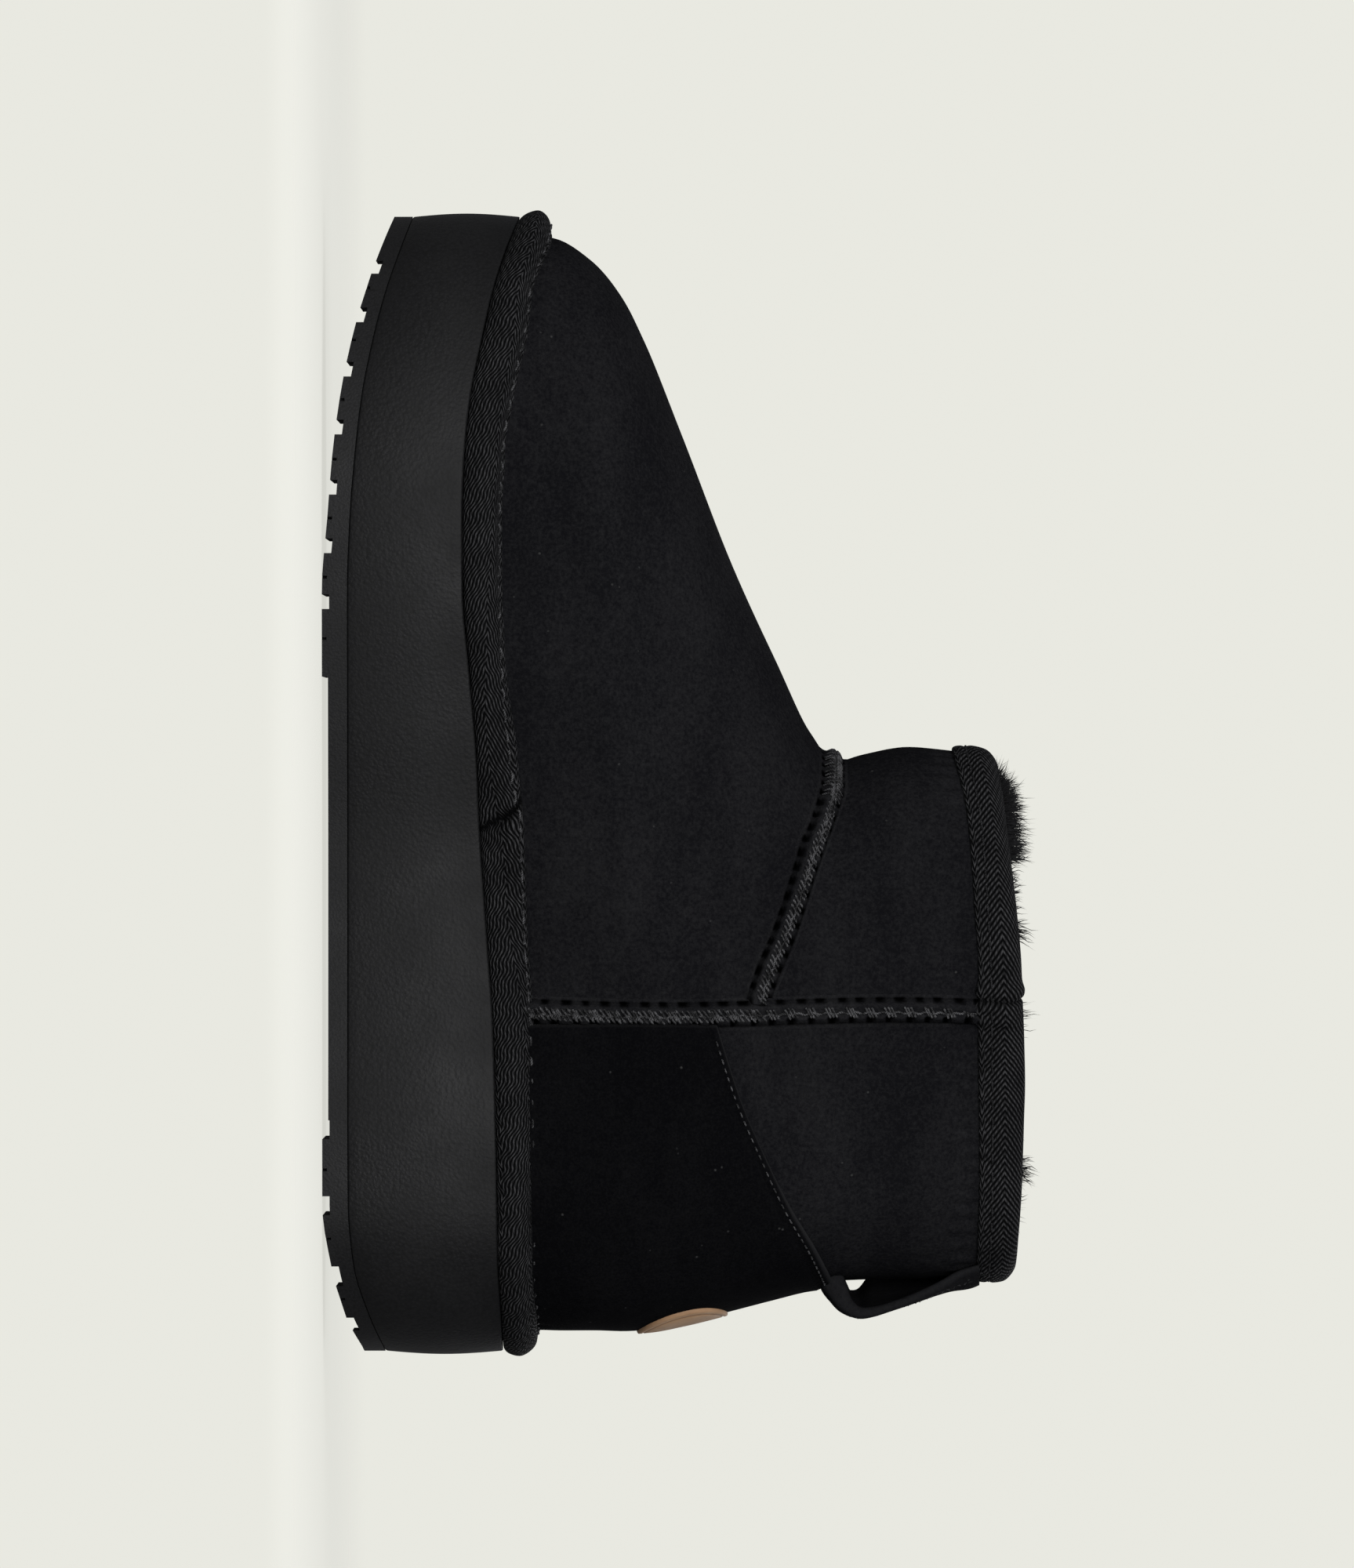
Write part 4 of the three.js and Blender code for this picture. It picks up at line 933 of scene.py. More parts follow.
def footbed():
    rim, spine = footbed_plan(np.linspace(0, 1, 240, endpoint=False))
    rings = []
    for share in np.linspace(0.02, 1, INSOLE_RINGS):
        flat = spine + (rim - spine) * share
        fall = 1.4 * np.clip((share - 0.93) / 0.07, 0, 1) ** 2
        rings.append(np.column_stack([flat, insole_height(flat[:, 0], share) - fall]))
    rings.append(np.column_stack([rim, top_at(rim[:, 0]) + GAP]))
    points = np.stack(rings)
    points = np.concatenate([points, points[:, :1]], 1)
    return make_mesh("footbed", points.reshape(-1, 3), [grid_faces(*points.shape[:2])[:, ::-1]])


bed = add_piece("insole_footbed", footbed(), wool, ["insole"])
chance = np.random.default_rng(21)
turn = chance.uniform(0, 1, INSOLE_TUFTS)
share = np.sqrt(chance.uniform(0, 1, len(turn)))
rim, spine = footbed_plan(turn)
flat = spine + (rim - spine) * share[:, None] * 0.97
roots = np.column_stack([flat, insole_height(flat[:, 0], share) - 0.3])
up = np.tile([0, 0, 1.0], (len(roots), 1))
add_piece("fur_insole", tufts_of_wool("fur_insole", roots, up, 3.4, 61, 0.7), wool)

# ---------------------------------------------------------------------------
# Heel counter: a piece of smooth suede over the back of the heel, from one side seam to the
# other. Its edge is cut clean and stitched down with one row; below it goes into the binding.
COUNTER_THICK = 1.5
COUNTER_FRONT_X = -56.0
COUNTER_EDGE = {
    "x": [-119, -108.5, -98.6, -86.5, -75, -56.5],
    "z": [120.4, 115, 109, 103, 98, 92],
}
COUNTER_ROW = 2.7
COUNTER_STITCH = {"pitch": 2.2, "long": 1.35, "thick": 0.4}
counter_edge_at = curve_through(COUNTER_EDGE["x"], COUNTER_EDGE["z"])


def counter_places(share_across, share_up):
    """Turns and levels of the counter, from its outer front edge round the heel, and upwards."""
    c, r = np.broadcast_arrays(share_across, share_up)
    low_z, high_z = tape_at(COUNTER_FRONT_X), counter_edge_at(COUNTER_FRONT_X)
    front_z = low_z + (high_z - low_z) * r
    edge_in, edge_out = (turn_at(COUNTER_FRONT_X, front_z, side) for side in ("inner", "outer"))
    turn = np.where(c >= 0, edge_in * c, (1 - edge_out) * c)
    level = np.zeros(turn.shape)
    for _ in range(4):
        x = look_up(LAST, turn, level)[..., 0]
        low = tape_at(x) - 1
        level = level_at(turn, low + (counter_edge_at(x) - low) * r)
    return turn, level


def counter_sheet():
    columns = np.concatenate([[-1, -0.997, -0.993, -0.985], np.linspace(-0.97, 0.97, 150),
                              [0.985, 0.993, 0.997, 1]])
    rows = np.r_[np.linspace(0, 0.94, 44), 0.955, 0.97, 0.98, 0.988, 0.995, 1]
    turn, level = counter_places(columns[None], rows[:, None])
    flat = look_up(LAST, turn, level)
    from_top = np.linalg.norm(flat - flat[-1:], axis=-1)
    from_front = np.minimum(np.linalg.norm(flat - flat[:, :1], axis=-1),
                            np.linalg.norm(flat - flat[:, -1:], axis=-1))
    from_edge = np.minimum(from_top, from_front)
    roll = np.sqrt(1 - (1 - np.clip(from_edge / 1.0, 0, 1)) ** 2)
    sewn = 0.42 * np.exp(-(((from_top - COUNTER_ROW) / 0.7) ** 2))
    out = GAP * 0.3 + (COUNTER_THICK + GAP * 0.7) * roll - sewn
    points = suede_at(turn, level, out)
    skirt = suede_at(turn[-1:], level[-1:], -0.5)
    points = np.concatenate([points, skirt])
    pale = np.concatenate([np.exp(-((from_edge / 0.35) ** 2)), np.ones((1, len(columns)))])
    return points, make_mesh(
        "counter", points.reshape(-1, 3), [grid_faces(*points.shape[:2])[:, ::-1]], {"cut_edge": pale}
    )


smooth_suede, tree, shader, where, brushed = suede_finish(
    "smooth_suede", (0.0021, 0.0021, 0.0026), (0.0058, 0.0058, 0.0064), 0.3, 0.6, 0.1
)
fill(tree, shader.inputs["Base Color"],
     tint(tree, mark_of(tree, "cut_edge"), brushed["Colour"], (0.021, 0.021, 0.022, 1)))
counter_cloth, counter_mesh = counter_sheet()
add_piece("heel_counter_suede", counter_mesh, smooth_suede, ["heel_counter"])


def on_cloth(cloth, row, column, out=0.0):
    """Points on or above a grid of points, between its rows and columns."""
    ways = unit(np.cross(np.gradient(cloth, axis=0), np.gradient(cloth, axis=1)))
    r = np.clip(np.asarray(row, float), 0, cloth.shape[0] - 1.001)
    c = np.clip(np.asarray(column, float), 0, cloth.shape[1] - 1.001)
    r, c = np.broadcast_arrays(r, c)
    i, j = r.astype(int), c.astype(int)
    u, v = (r - i)[..., None], (c - j)[..., None]
    found = []
    for grid in (cloth, ways):
        low = grid[i, j] * (1 - v) + grid[i, j + 1] * v
        high = grid[i + 1, j] * (1 - v) + grid[i + 1, j + 1] * v
        found.append(low * (1 - u) + high * u)
    way = unit(found[1])
    return found[0] + way * np.asarray(out, float)[..., None], way


def thread_pieces(name, lines, ways, thick):
    """Round threads along many lines with the same number of points; their ends go under."""
    count, steps = lines.shape[:2]
    on = unit(np.gradient(lines, axis=1))
    side = unit(np.cross(on, ways))
    up = np.cross(side, on)
    turn = np.linspace(0, 2 * np.pi, 7)[:-1]
    taper = np.r_[0.55, np.ones(steps - 2), 0.55] * thick / 2
    ring = side[:, :, None] * np.cos(turn)[:, None] + up[:, :, None] * np.sin(turn)[:, None]
    points = lines[:, :, None] + ring * taper[None, :, None, None]
    s, k = np.meshgrid(np.arange(steps - 1), np.arange(6), indexing="ij")
    quads = np.stack([s * 6 + k, s * 6 + (k + 1) % 6, (s + 1) * 6 + (k + 1) % 6, (s + 1) * 6 + k], -1)
    quads = quads.reshape(-1, 4)
    faces = (np.arange(count)[:, None, None] * steps * 6 + quads[None]).reshape(-1, 4)
    length = np.cumsum(np.linalg.norm(np.diff(lines, axis=1, prepend=lines[:, :1]), axis=-1), 1)
    place_on = np.stack(np.broadcast_arrays((np.arange(6) / 6)[None, None], length[:, :, None]), -1)
    return make_mesh(name, points.reshape(-1, 3), [faces[:, ::-1]], None, place_on.reshape(-1, 2))


def running_stitches(name, cloth, row, start, stop, pitch, long, thick, slant=0.0):
    """A row of stitches along a grid's columns; row is its place up the grid at each column."""
    columns = np.linspace(start, stop, 1600)
    rows = np.interp(columns, np.arange(len(row)), row)
    path = on_cloth(cloth, rows, columns)[0]
    length = np.r_[0, np.cumsum(np.linalg.norm(np.diff(path, axis=0), axis=-1))]
    middles = np.arange(pitch * 0.7, length[-1] - pitch * 0.3, pitch)
    share = np.linspace(-0.5, 0.5, 7)
    at = middles[:, None] + share * long
    c = np.interp(at, length, columns)
    r = np.interp(at, length, rows) + slant * share
    height = thick * np.array([-0.7, 0.1, 0.42, 0.5, 0.42, 0.1, -0.7])
    lines, ways = on_cloth(cloth, r, c, np.broadcast_to(height, r.shape))
    return thread_pieces(name, lines, ways, thick)


# Sewing thread: bonded black yarn, its plies twisted round each other and catching some light. That light
# is painted into the colour as a painted highlight along each ply's twist, in blotches.
def thread_finish(name, dark, light, gloss):
    material, tree, shader, where = start_finish(name, 0.5, gloss)
    along = place(tree, "SeparateXYZ", Vector=place(tree, "UVMap").outputs[0])
    ply = reckon(tree, "ADD", reckon(tree, "MULTIPLY", along.outputs["Y"], 1.7),
                 reckon(tree, "MULTIPLY", along.outputs["X"], 2.0))
    twist = reckon(tree, "SINE", reckon(tree, "MULTIPLY", ply, 2 * np.pi))
    blotches = speckle(tree, where, 1.5, 2)
    # Painted highlight: lighter along each ply and in blotches, where the thread is also smoother.
    painted_ply_highlight = reckon(tree, "MULTIPLY", spread(tree, twist, -1, 1, 0.3, 1),
                    spread(tree, blotches, 0.42, 0.6, 0.08, 1))
    fill(tree, shader.inputs["Base Color"], tint(tree, painted_ply_highlight, (*dark, 1), (*light, 1)))
    fill(tree, shader.inputs["Roughness"], spread(tree, blotches, 0.3, 0.7, 0.62, 0.45))
    emboss(tree, shader, twist, 0.08)
    return material


seam_thread = thread_finish("seam_thread", (0.005, 0.005, 0.0055), (0.095, 0.095, 0.099), 0.3)


def add_thread(name, mesh):
    add_piece(name, mesh, seam_thread)


drop = np.linalg.norm(np.diff(counter_cloth[:-1], axis=0), axis=-1)
from_top = np.cumsum(drop[::-1], axis=0)[::-1]
edge_row = np.array([np.interp(-COUNTER_ROW, -column, np.arange(len(column))) for column in from_top.T])
last_column = counter_cloth.shape[1] - 4
add_thread("heel_counter_stitches", running_stitches("counter_stitches", counter_cloth, edge_row, 3,
                                                     last_column, **COUNTER_STITCH))

# ---------------------------------------------------------------------------
# Heel badge: a small blank patch of tan leather, fixed to the counter at the back of the heel. A
# fine line is pressed round its edge and its field is bare.
BADGE = {"wide": 31, "tall": 21, "centre_z": 83.5, "thick": 0.8, "power": 2.3}


def heel_turn(y, z):
    """The turn, near the back of the heel, where the suede reaches a sideways place."""
    y, z = np.broadcast_arrays(np.asarray(y, float), np.asarray(z, float))
    near, far = np.full(y.shape, -0.15), np.full(y.shape, 0.15)
    for _ in range(18):
        middle = (near + far) / 2
        short = look_up(LAST, middle, level_at(middle, z))[..., 1] < y
        near, far = np.where(short, middle, near), np.where(short, far, middle)
    return (near + far) / 2


def badge_patch():
    shares = np.r_[np.linspace(0, 0.84, 12), 0.86, 0.875, 0.89, 0.905, 0.93, 0.955, 0.975, 0.99, 1, 1]
    angles = np.linspace(0, 2 * np.pi, 97)
    power = 2 / BADGE["power"]
    wide = np.sign(np.cos(angles)) * np.abs(np.cos(angles)) ** power * BADGE["wide"] / 2
    tall = np.sign(np.sin(angles)) * np.abs(np.sin(angles)) ** power * BADGE["tall"] / 2
    y = shares[:, None] * wide + LAST[RING_STEPS * 5, 0, 1]
    z = BADGE["centre_z"] + shares[:, None] * tall
    turn = heel_turn(y, z)
    pressed = 0.22 * np.exp(-(((shares - 0.875) / 0.016) ** 2))
    roll = np.sqrt(1 - np.clip((shares - 0.95) / 0.05, 0, 1) ** 2)
    out = COUNTER_THICK + GAP + BADGE["thick"] * roll - pressed
    out[-1] -= 0.5
    points = suede_at(turn, level_at(turn, z), np.broadcast_to(out[:, None], y.shape))
    line = np.broadcast_to(np.exp(-(((shares - 0.875) / 0.02) ** 2))[:, None], y.shape)
    rim = np.broadcast_to(np.clip((shares - 0.93) / 0.07, 0, 1)[:, None], y.shape)
    return make_mesh("badge", points.reshape(-1, 3), [grid_faces(*points.shape[:2])],
                     {"pressed": line, "rim": rim})


tan_leather, tree, shader, where = start_finish("badge", 0.62, 0.2)
pores = place(tree, "TexVoronoi", Vector=where, Scale=1 / (0.9 * MM))
tone = tint(tree, speckle(tree, where, 7, 3), (0.33, 0.198, 0.106, 1), (0.62, 0.39, 0.225, 1))
tone = tint(tree, mark_of(tree, "pressed"), tone, (0.22, 0.12, 0.06, 1))
fill(tree, shader.inputs["Base Color"],
     tint(tree, reckon(tree, "MULTIPLY", mark_of(tree, "rim"), 0.55), tone, (0.15, 0.08, 0.042, 1)))
fill(tree, shader.inputs["Roughness"], spread(tree, speckle(tree, where, 4), 0.3, 0.7, 0.65, 0.5))
emboss(tree, shader, pores.outputs["Distance"], 0.06)
add_piece("heel_badge_patch", badge_patch(), tan_leather, ["heel_badge"])

# ---------------------------------------------------------------------------
# Raised seams: the panels' cut edges stand together and are overcast with thick twisted thread.
# Two run up the sides from the binding to the collar; the third goes from side to side over the
# throat. Needle holes pull the suede in along one side of each.
SIDE_SEAM_X = -53.4
THREAD_THICK = 0.62
SEWN_THICK = 0.56
ARC_THICK = 0.5
THROAT_WIDE = 0.95
THROAT = {
    "x": [-50, -44.3, -36.4, -26, -15.3, -7.4, 0.5, 7],
    "z": [102, 104, 107.3, 111.2, 114.8, 117.8, 119.4, 119.4],
}
COLLAR_EDGE = {
    "x": [-117, -92, -47, -26, -10, 8],
    "z": [152.4, 153, 152.8, 151.7, 150.4, 146.6],
}
# Height of a sewn seam across it, from its rear or upper side to its front or lower side.
SEAM_FORM = {
    "across": [-4.2, -3.2, -2.7, -2.2, -1.5, -0.9, -0.3, 0.3, 0.9, 1.5, 2.2, 2.7, 3.2, 4.2],
    "up": [-0.15, 0.2, 0.35, 1.3, 2.1, 1.95, 1.5, 1.65, 2.1, 2.2, 1.7, 0.7, 0.3, -0.15],
}
throat_at = curve_through(THROAT["x"], THROAT["z"])
collar_edge_at = curve_through(COLLAR_EDGE["x"], COLLAR_EDGE["z"])


def even_line(turn, level, step):
    """A line on the suede as turns and levels at even steps, and what one millimetre across it
    changes in each. Across is to the right of the line, seen from outside."""
    path = look_up(LAST, turn, level)
    length = np.r_[0, np.cumsum(np.linalg.norm(np.diff(path, axis=0), axis=-1))]
    at = np.arange(0, length[-1], step)
    turn, level = np.interp(at, length, turn), np.interp(at, length, level)
    on = unit(np.gradient(look_up(LAST, turn, level), axis=0))
    across = np.cross(look_up(LAST_OUT, turn, level), on)
    tiny = 1e-3
    by_turn = (look_up(LAST, turn + tiny, level) - look_up(LAST, turn - tiny, level)) / (2 * tiny)
    by_level = (look_up(LAST, turn, level + 0.1) - look_up(LAST, turn, level - 0.1)) / 0.2
    a, b, c = (np.sum(p * q, -1) for p, q in
               ((by_turn, by_turn), (by_turn, by_level), (by_level, by_level)))
    e, f = np.sum(by_turn * across, -1), np.sum(by_level * across, -1)
    det = np.maximum(a * c - b * b, 1e-6)
    return at, turn, level, (c * e - b * f) / det, (a * f - b * e) / det


def beside(line, at, across, out):
    """Points near a line: at along it, across it and out of the suede, all in millimetres."""
    lengths, turn, level, per_turn, per_level = line
    at, across, out = np.broadcast_arrays(at, across, out)
    t, l, dt, dl = (np.interp(at, lengths, column) for column in (turn, level, per_turn, per_level))
    return suede_at(t + dt * across, np.clip(l + dl * across, 0, TOP_LEVEL), out)


def ridge_height(across):
    return np.interp(across, SEAM_FORM["across"], SEAM_FORM["up"])


def seam_ridge(name, line, hole_side, pitch, wide=1.0):
    """The standing edges as two soft lips, with needle holes along both sides of the seam."""
    at = np.arange(0.05, line[0][-1], 0.3)[:, None]
    across = np.linspace(-4.2, 4.2, 43)[None]
    uneven = drift(np.column_stack([at * 0, at * 0, at]), 2.6, 5)
    phase = (at / pitch + 0.1 * uneven[:, :1]) % 1
    from_rear, from_front = np.abs(phase - 0.5) * pitch, np.minimum(phase, 1 - phase) * pitch
    rear = np.exp(-((from_rear / 0.9) ** 4) - ((across + 2.0) / 0.75) ** 4)
    front = np.exp(-((from_front / 1.1) ** 4) - ((across - 2.65) / 0.6) ** 4)
    up = ridge_height(across) + 0.15 * uneven[:, 1:2] * (np.abs(across) < 2.6)
    pads = 0.25 * np.cos(2 * np.pi * phase) * np.exp(-(((across + 1.7) / 0.9) ** 2))
    pads = pads - 0.18 * np.cos(2 * np.pi * phase) * np.exp(-(((across - 1.6) / 0.9) ** 2))
    up = up + pads - 1.9 * rear - 1.3 * front
    up = np.where(np.abs(across) < 3.4, np.maximum(up, 0.12), up)
    points = beside(line, at, across * hole_side * wide, up)
    # Painted shade: the needle holes, the groove between the lips, a line beside the front holes and one
    # along the rear foot of the ridge are marked to be painted near black.
    groove = 0.55 * np.exp(-(((across + 0.3) / 0.3) ** 2)) + 0.4 * np.exp(-(((across - 2.95) / 0.22) ** 2))
    dark = np.clip(rear + front + groove + 0.5 * np.exp(-(((across + 2.75) / 0.3) ** 2)), 0, 1)
    faces = grid_faces(*points.shape[:2])
    return make_mesh(name, points.reshape(-1, 3), [faces if hole_side > 0 else faces[:, ::-1]],
                     {"hole": dark})


def overcast(name, line, hole_side, starts, ends, lean, wide=1.0, thick=SEWN_THICK):
    """Threads that cross the ridge between two places across it, in millimetres; lean is how far
    each runs on along it."""
    share = np.linspace(-1, 1, 11)
    middle, half = (ends[0] + ends[1]) / 2, (ends[1] - ends[0]) / 2
    across = middle + half * share
    up = ridge_height(across) + thick * 0.35
    up[[0, -1]] -= thick * 1.3
    rows = starts[:, None] + lean * share / 2
    rows = np.clip(rows, 0.1, line[0][-1] - 0.1)
    chance = np.random.default_rng(len(starts))
    side = (across + chance.normal(0, 0.1, (len(starts), 1))) * hole_side * wide
    up = up + chance.uniform(-0.06, 0.14, (len(starts), 1))
    lines, higher = beside(line, rows, side, up), beside(line, rows, side, up + 1)
    return thread_pieces(name, lines, unit(higher - lines), thick)


def core_thread(name, line, hole_side, wide=1.0):
    """The long twisted thread that lies in the groove between the two lips."""
    at = np.arange(0.5, line[0][-1] - 0.5, 0.35)
    side = (-0.3 + 0.22 * np.sin(at * 1.9)) * hole_side * wide
    up = ridge_height(side * 0 - 0.3) + 0.2 + 0.1 * np.sin(at * 3.1)
    lines, higher = beside(line, at, side, up), beside(line, at, side, up + 1)
    return thread_pieces(name, lines[None], unit(higher - lines)[None], THREAD_THICK)


def grouped(line, pitch, offsets, seed, spread_by=0.1):
    """Starts of threads in groups, one group for every needle hole of the rear side."""
    chance = np.random.default_rng(seed)
    groups = np.arange(pitch / 2, line[0][-1] - 1, pitch)
    starts = (groups[:, None] + np.array(offsets)).ravel()
    return starts + chance.normal(0, spread_by, len(starts))


ridge_suede, tree, shader, where, brushed = suede_finish(
    "ridge_suede", (0.007, 0.007, 0.008), (0.0175, 0.0175, 0.0185), 0.6, 0.6, 0.2
)
# The hole mark paints shade near black into the needle holes, the grooves and the ridge's rear foot.
fill(tree, shader.inputs["Base Color"],
     tint(tree, mark_of(tree, "hole"), brushed["Colour"], (0.0004, 0.0004, 0.0004, 1)))
fill(tree, shader.inputs["Specular IOR Level"], 0.0)

SIDE_PITCH = 4.6
CLOSE_SEWN_TO = 56
for side, hole_side in (("inner", 1), ("outer", -1)):
    z = np.linspace(tape_at(SIDE_SEAM_X) - 1, collar_edge_at(SIDE_SEAM_X) + 2.5, 240)
    turn = turn_at(SIDE_SEAM_X + 0.6 * np.sin(z / 17), z, side)
    line = even_line(turn, level_at(turn, z), 0.4)
    ridge = seam_ridge("side_ridge", line, hole_side, SIDE_PITCH)
    add_piece(f"side_seam_ridge_{side}", ridge, ridge_suede, [f"side_seam_{side}"])
    starts = grouped(line, SIDE_PITCH, (-0.75, 0, 0.75), 31)
    add_thread(f"side_seam_groups_{side}", overcast("groups", line, hole_side, starts, (-1.3, 1.1), -1.3))
    add_thread(f"side_seam_core_{side}", core_thread("core", line, hole_side))
    close = np.arange(1, CLOSE_SEWN_TO, 1.25)
    close = close + np.random.default_rng(34).normal(0, 0.12, len(close))
    add_thread(f"side_seam_close_{side}", overcast("close", line, hole_side, close, (-1.8, 1.4), -2.6))

THROAT_FRONT_X = 6.1
THROAT_PITCH = 3.7
share = 1 - np.abs(np.linspace(-1, 1, 481))
throat_x = SIDE_SEAM_X + 2 + (THROAT_FRONT_X - SIDE_SEAM_X - 2) * np.sin(share * np.pi / 2) ** 0.8
half = len(share) // 2


def throat_turns(x, z):
    inner, outer = turn_at(x[:half], z[:half], "inner"), turn_at(x[half + 1:], z[half + 1:], "outer")
    return np.concatenate([inner, [0.5], outer])


throat_z = throat_at(throat_x)
throat_turn = throat_turns(throat_x, throat_z)
# The seam stands out from the suede, so its foot is set back from where its crest shows.
slope = look_up(LAST_OUT, throat_turn, level_at(throat_turn, throat_z))
throat_x, throat_z = throat_x - 1.5 * slope[:, 0], throat_z - 1.5 * slope[:, 2]
throat_turn = throat_turns(throat_x, throat_z)
line = even_line(throat_turn, level_at(throat_turn, throat_z), 0.4)
ridge = seam_ridge("throat_ridge", line, 1, THROAT_PITCH, THROAT_WIDE)
add_piece("throat_seam_ridge", ridge, ridge_suede, ["throat_seam"])
add_thread("throat_seam_core", core_thread("core", line, 1, THROAT_WIDE))
middle = line[0][-1] / 2
starts = grouped(line, THROAT_PITCH, (-0.9, 0.3, 1.4), 33)
starts = starts[np.abs(starts - middle) > 20]
for name, way in (("inner", 1), ("outer", -1)):
    chosen = starts[(starts - middle) * way < 0]
    threads = overcast("groups", line, 1, chosen, (-1.6, 1.3), 2.2 * way, THROAT_WIDE)
    add_thread(f"throat_seam_groups_{name}", threads)
close_set = np.arange(middle - 25, middle + 25, 1.5)
close_set = close_set + np.random.default_rng(35).normal(0, 0.08, len(close_set))
for i, gap in enumerate((0, 0.52)):
    threads = overcast("arcs", line, 1, close_set + gap, (-2.5, 2.6), 0.4 - i, THROAT_WIDE, ARC_THICK)
    add_thread(f"throat_seam_arcs_{i}", threads)

# ---------------------------------------------------------------------------
# Welt binding: woven herringbone tape, folded over the edge where upper and platform meet and
# sewn down along its upper edge. It bulges proud of the platform all round. Its two ends meet on
# the inner side of the waist, where the one is folded over the other.
TAPE_THICK = 1.2
TAPE_STEPS = 900
WELT_JOINT_X = -6
WELT_ROW_TOE = 2.3
WELT_ROW_HEEL = 1.5
WELT_STITCH = {"pitch": 4.9, "long": 3.6, "thick": 0.6, "slant": 0.5}

# Herringbone: columns of slanting ribs that turn at each spine; every rib is a row of short
# floats. Across and Along are millimetres on the tape. Shade is low in the gaps and high on the
# floats; as colour it paints the weave with painted shade in its gaps and painted light on its tops.
twill, twill_in, twill_out = start_group(
    "herringbone",
    [("Where", "Vector", None), ("Across", "Float", 0), ("Along", "Float", 0), ("Column", "Float", 5.5),
     ("Slope", "Float", -2.2), ("Rib", "Float", 2.0), ("Float", "Float", 0.9)],
    [("Height", "Float"), ("Shade", "Float")],
)
loose = reckon(twill, "SUBTRACT", speckle(twill, twill_in["Where"], 2.2, 2), 0.5)
across = reckon(twill, "ADD", twill_in["Across"], reckon(twill, "MULTIPLY", loose, 0.3))
along = reckon(twill, "ADD", twill_in["Along"], reckon(twill, "MULTIPLY", loose, 0.4))
folded = reckon(twill, "PINGPONG", across, twill_in["Column"])
turns_of_rib = reckon(twill, "DIVIDE",
                      reckon(twill, "ADD", along, reckon(twill, "MULTIPLY", folded, twill_in["Slope"])),
                      twill_in["Rib"])
rib = spread(twill, reckon(twill, "SINE", reckon(twill, "MULTIPLY", turns_of_rib, 2 * np.pi)), -0.55, 0.92)
bead_at = reckon(twill, "ADD", reckon(twill, "DIVIDE", folded, twill_in["Float"]),
                 reckon(twill, "MULTIPLY", reckon(twill, "FLOOR", turns_of_rib), 0.5))
bead = spread(twill, reckon(twill, "SINE", reckon(twill, "MULTIPLY", bead_at, 2 * np.pi)), -1, 0.4, 0.3, 1)
woven = reckon(twill, "MULTIPLY", rib, bead)
blotches = speckle(twill, twill_in["Where"], 6, 3)
twill.links.new(woven, twill_out["Height"])
twill.links.new(reckon(twill, "MULTIPLY", woven, spread(twill, blotches, 0.25, 0.75, 0.6, 1.25)),
                twill_out["Shade"])


def tape_finish(name, column, slope, rib, selvedge, selvedge_side):
    """Tape with its ribs and, along one edge, a plain band of this width."""
    material, tree, shader, where = start_finish(name, 0.8, 0.06)
    on_tape = place(tree, "SeparateXYZ", Vector=place(tree, "UVMap").outputs[0])
    ribs = use_group(tree, twill, Where=where, Across=on_tape.outputs["X"], Along=on_tape.outputs["Y"],
                     Column=column, Slope=slope, Rib=rib)
    plain = use_group(tree, twill, Where=where, Across=on_tape.outputs["X"],
                      Along=on_tape.outputs["Y"], Column=0.6, Slope=3.0, Rib=2.0, Float=0.6)
    edge = spread(tree, on_tape.outputs["X"], selvedge - 0.15, selvedge + 0.15, *selvedge_side)
    inside = reckon(tree, "SUBTRACT", 1.0, edge)
    shade = reckon(tree, "ADD", reckon(tree, "MULTIPLY", ribs["Shade"], inside),
                   reckon(tree, "MULTIPLY", plain["Shade"], edge))
    height = reckon(tree, "ADD", reckon(tree, "MULTIPLY", ribs["Height"], inside),
                    reckon(tree, "MULTIPLY", plain["Height"], reckon(tree, "MULTIPLY", edge, 0.6)))
    # Painted shadow: the fold mark darkens the tape where its two ends lap over each other.
    shade = reckon(tree, "MULTIPLY", shade, reckon(tree, "SUBTRACT", 1.0, mark_of(tree, "painted_fold_shadow")))
    # The weave is painted into the colour: near black in its gaps as painted shade, lighter on its floats
    # as painted light.
    fill(tree, shader.inputs["Base Color"],
         tint(tree, shade, (0.0004, 0.0004, 0.0006, 1), (0.046, 0.046, 0.048, 1)))
    fill(tree, shader.inputs["Roughness"], spread(tree, shade, 0, 1, 0.9, 0.62))
    emboss(tree, shader, height, 0.28)
    return material


def smooth_rows(guides, rows):
    """A smooth surface through guide lines laid side by side."""
    guides = np.stack(guides)
    padded = np.concatenate([2 * guides[:1] - guides[1:2], guides, 2 * guides[-1:] - guides[-2:-1]])
    place_at = np.linspace(0, len(guides) - 1, rows)
    i = np.minimum(place_at.astype(int), len(guides) - 2)
    u = (place_at - i)[:, None, None]
    p0, p1, p2, p3 = (padded[i + step] for step in range(4))
    return 0.5 * (2 * p1 + (p2 - p0) * u + (2 * p0 - 5 * p1 + 4 * p2 - p3) * u**2
                  + (3 * p1 - p0 - 3 * p2 + p3) * u**3)


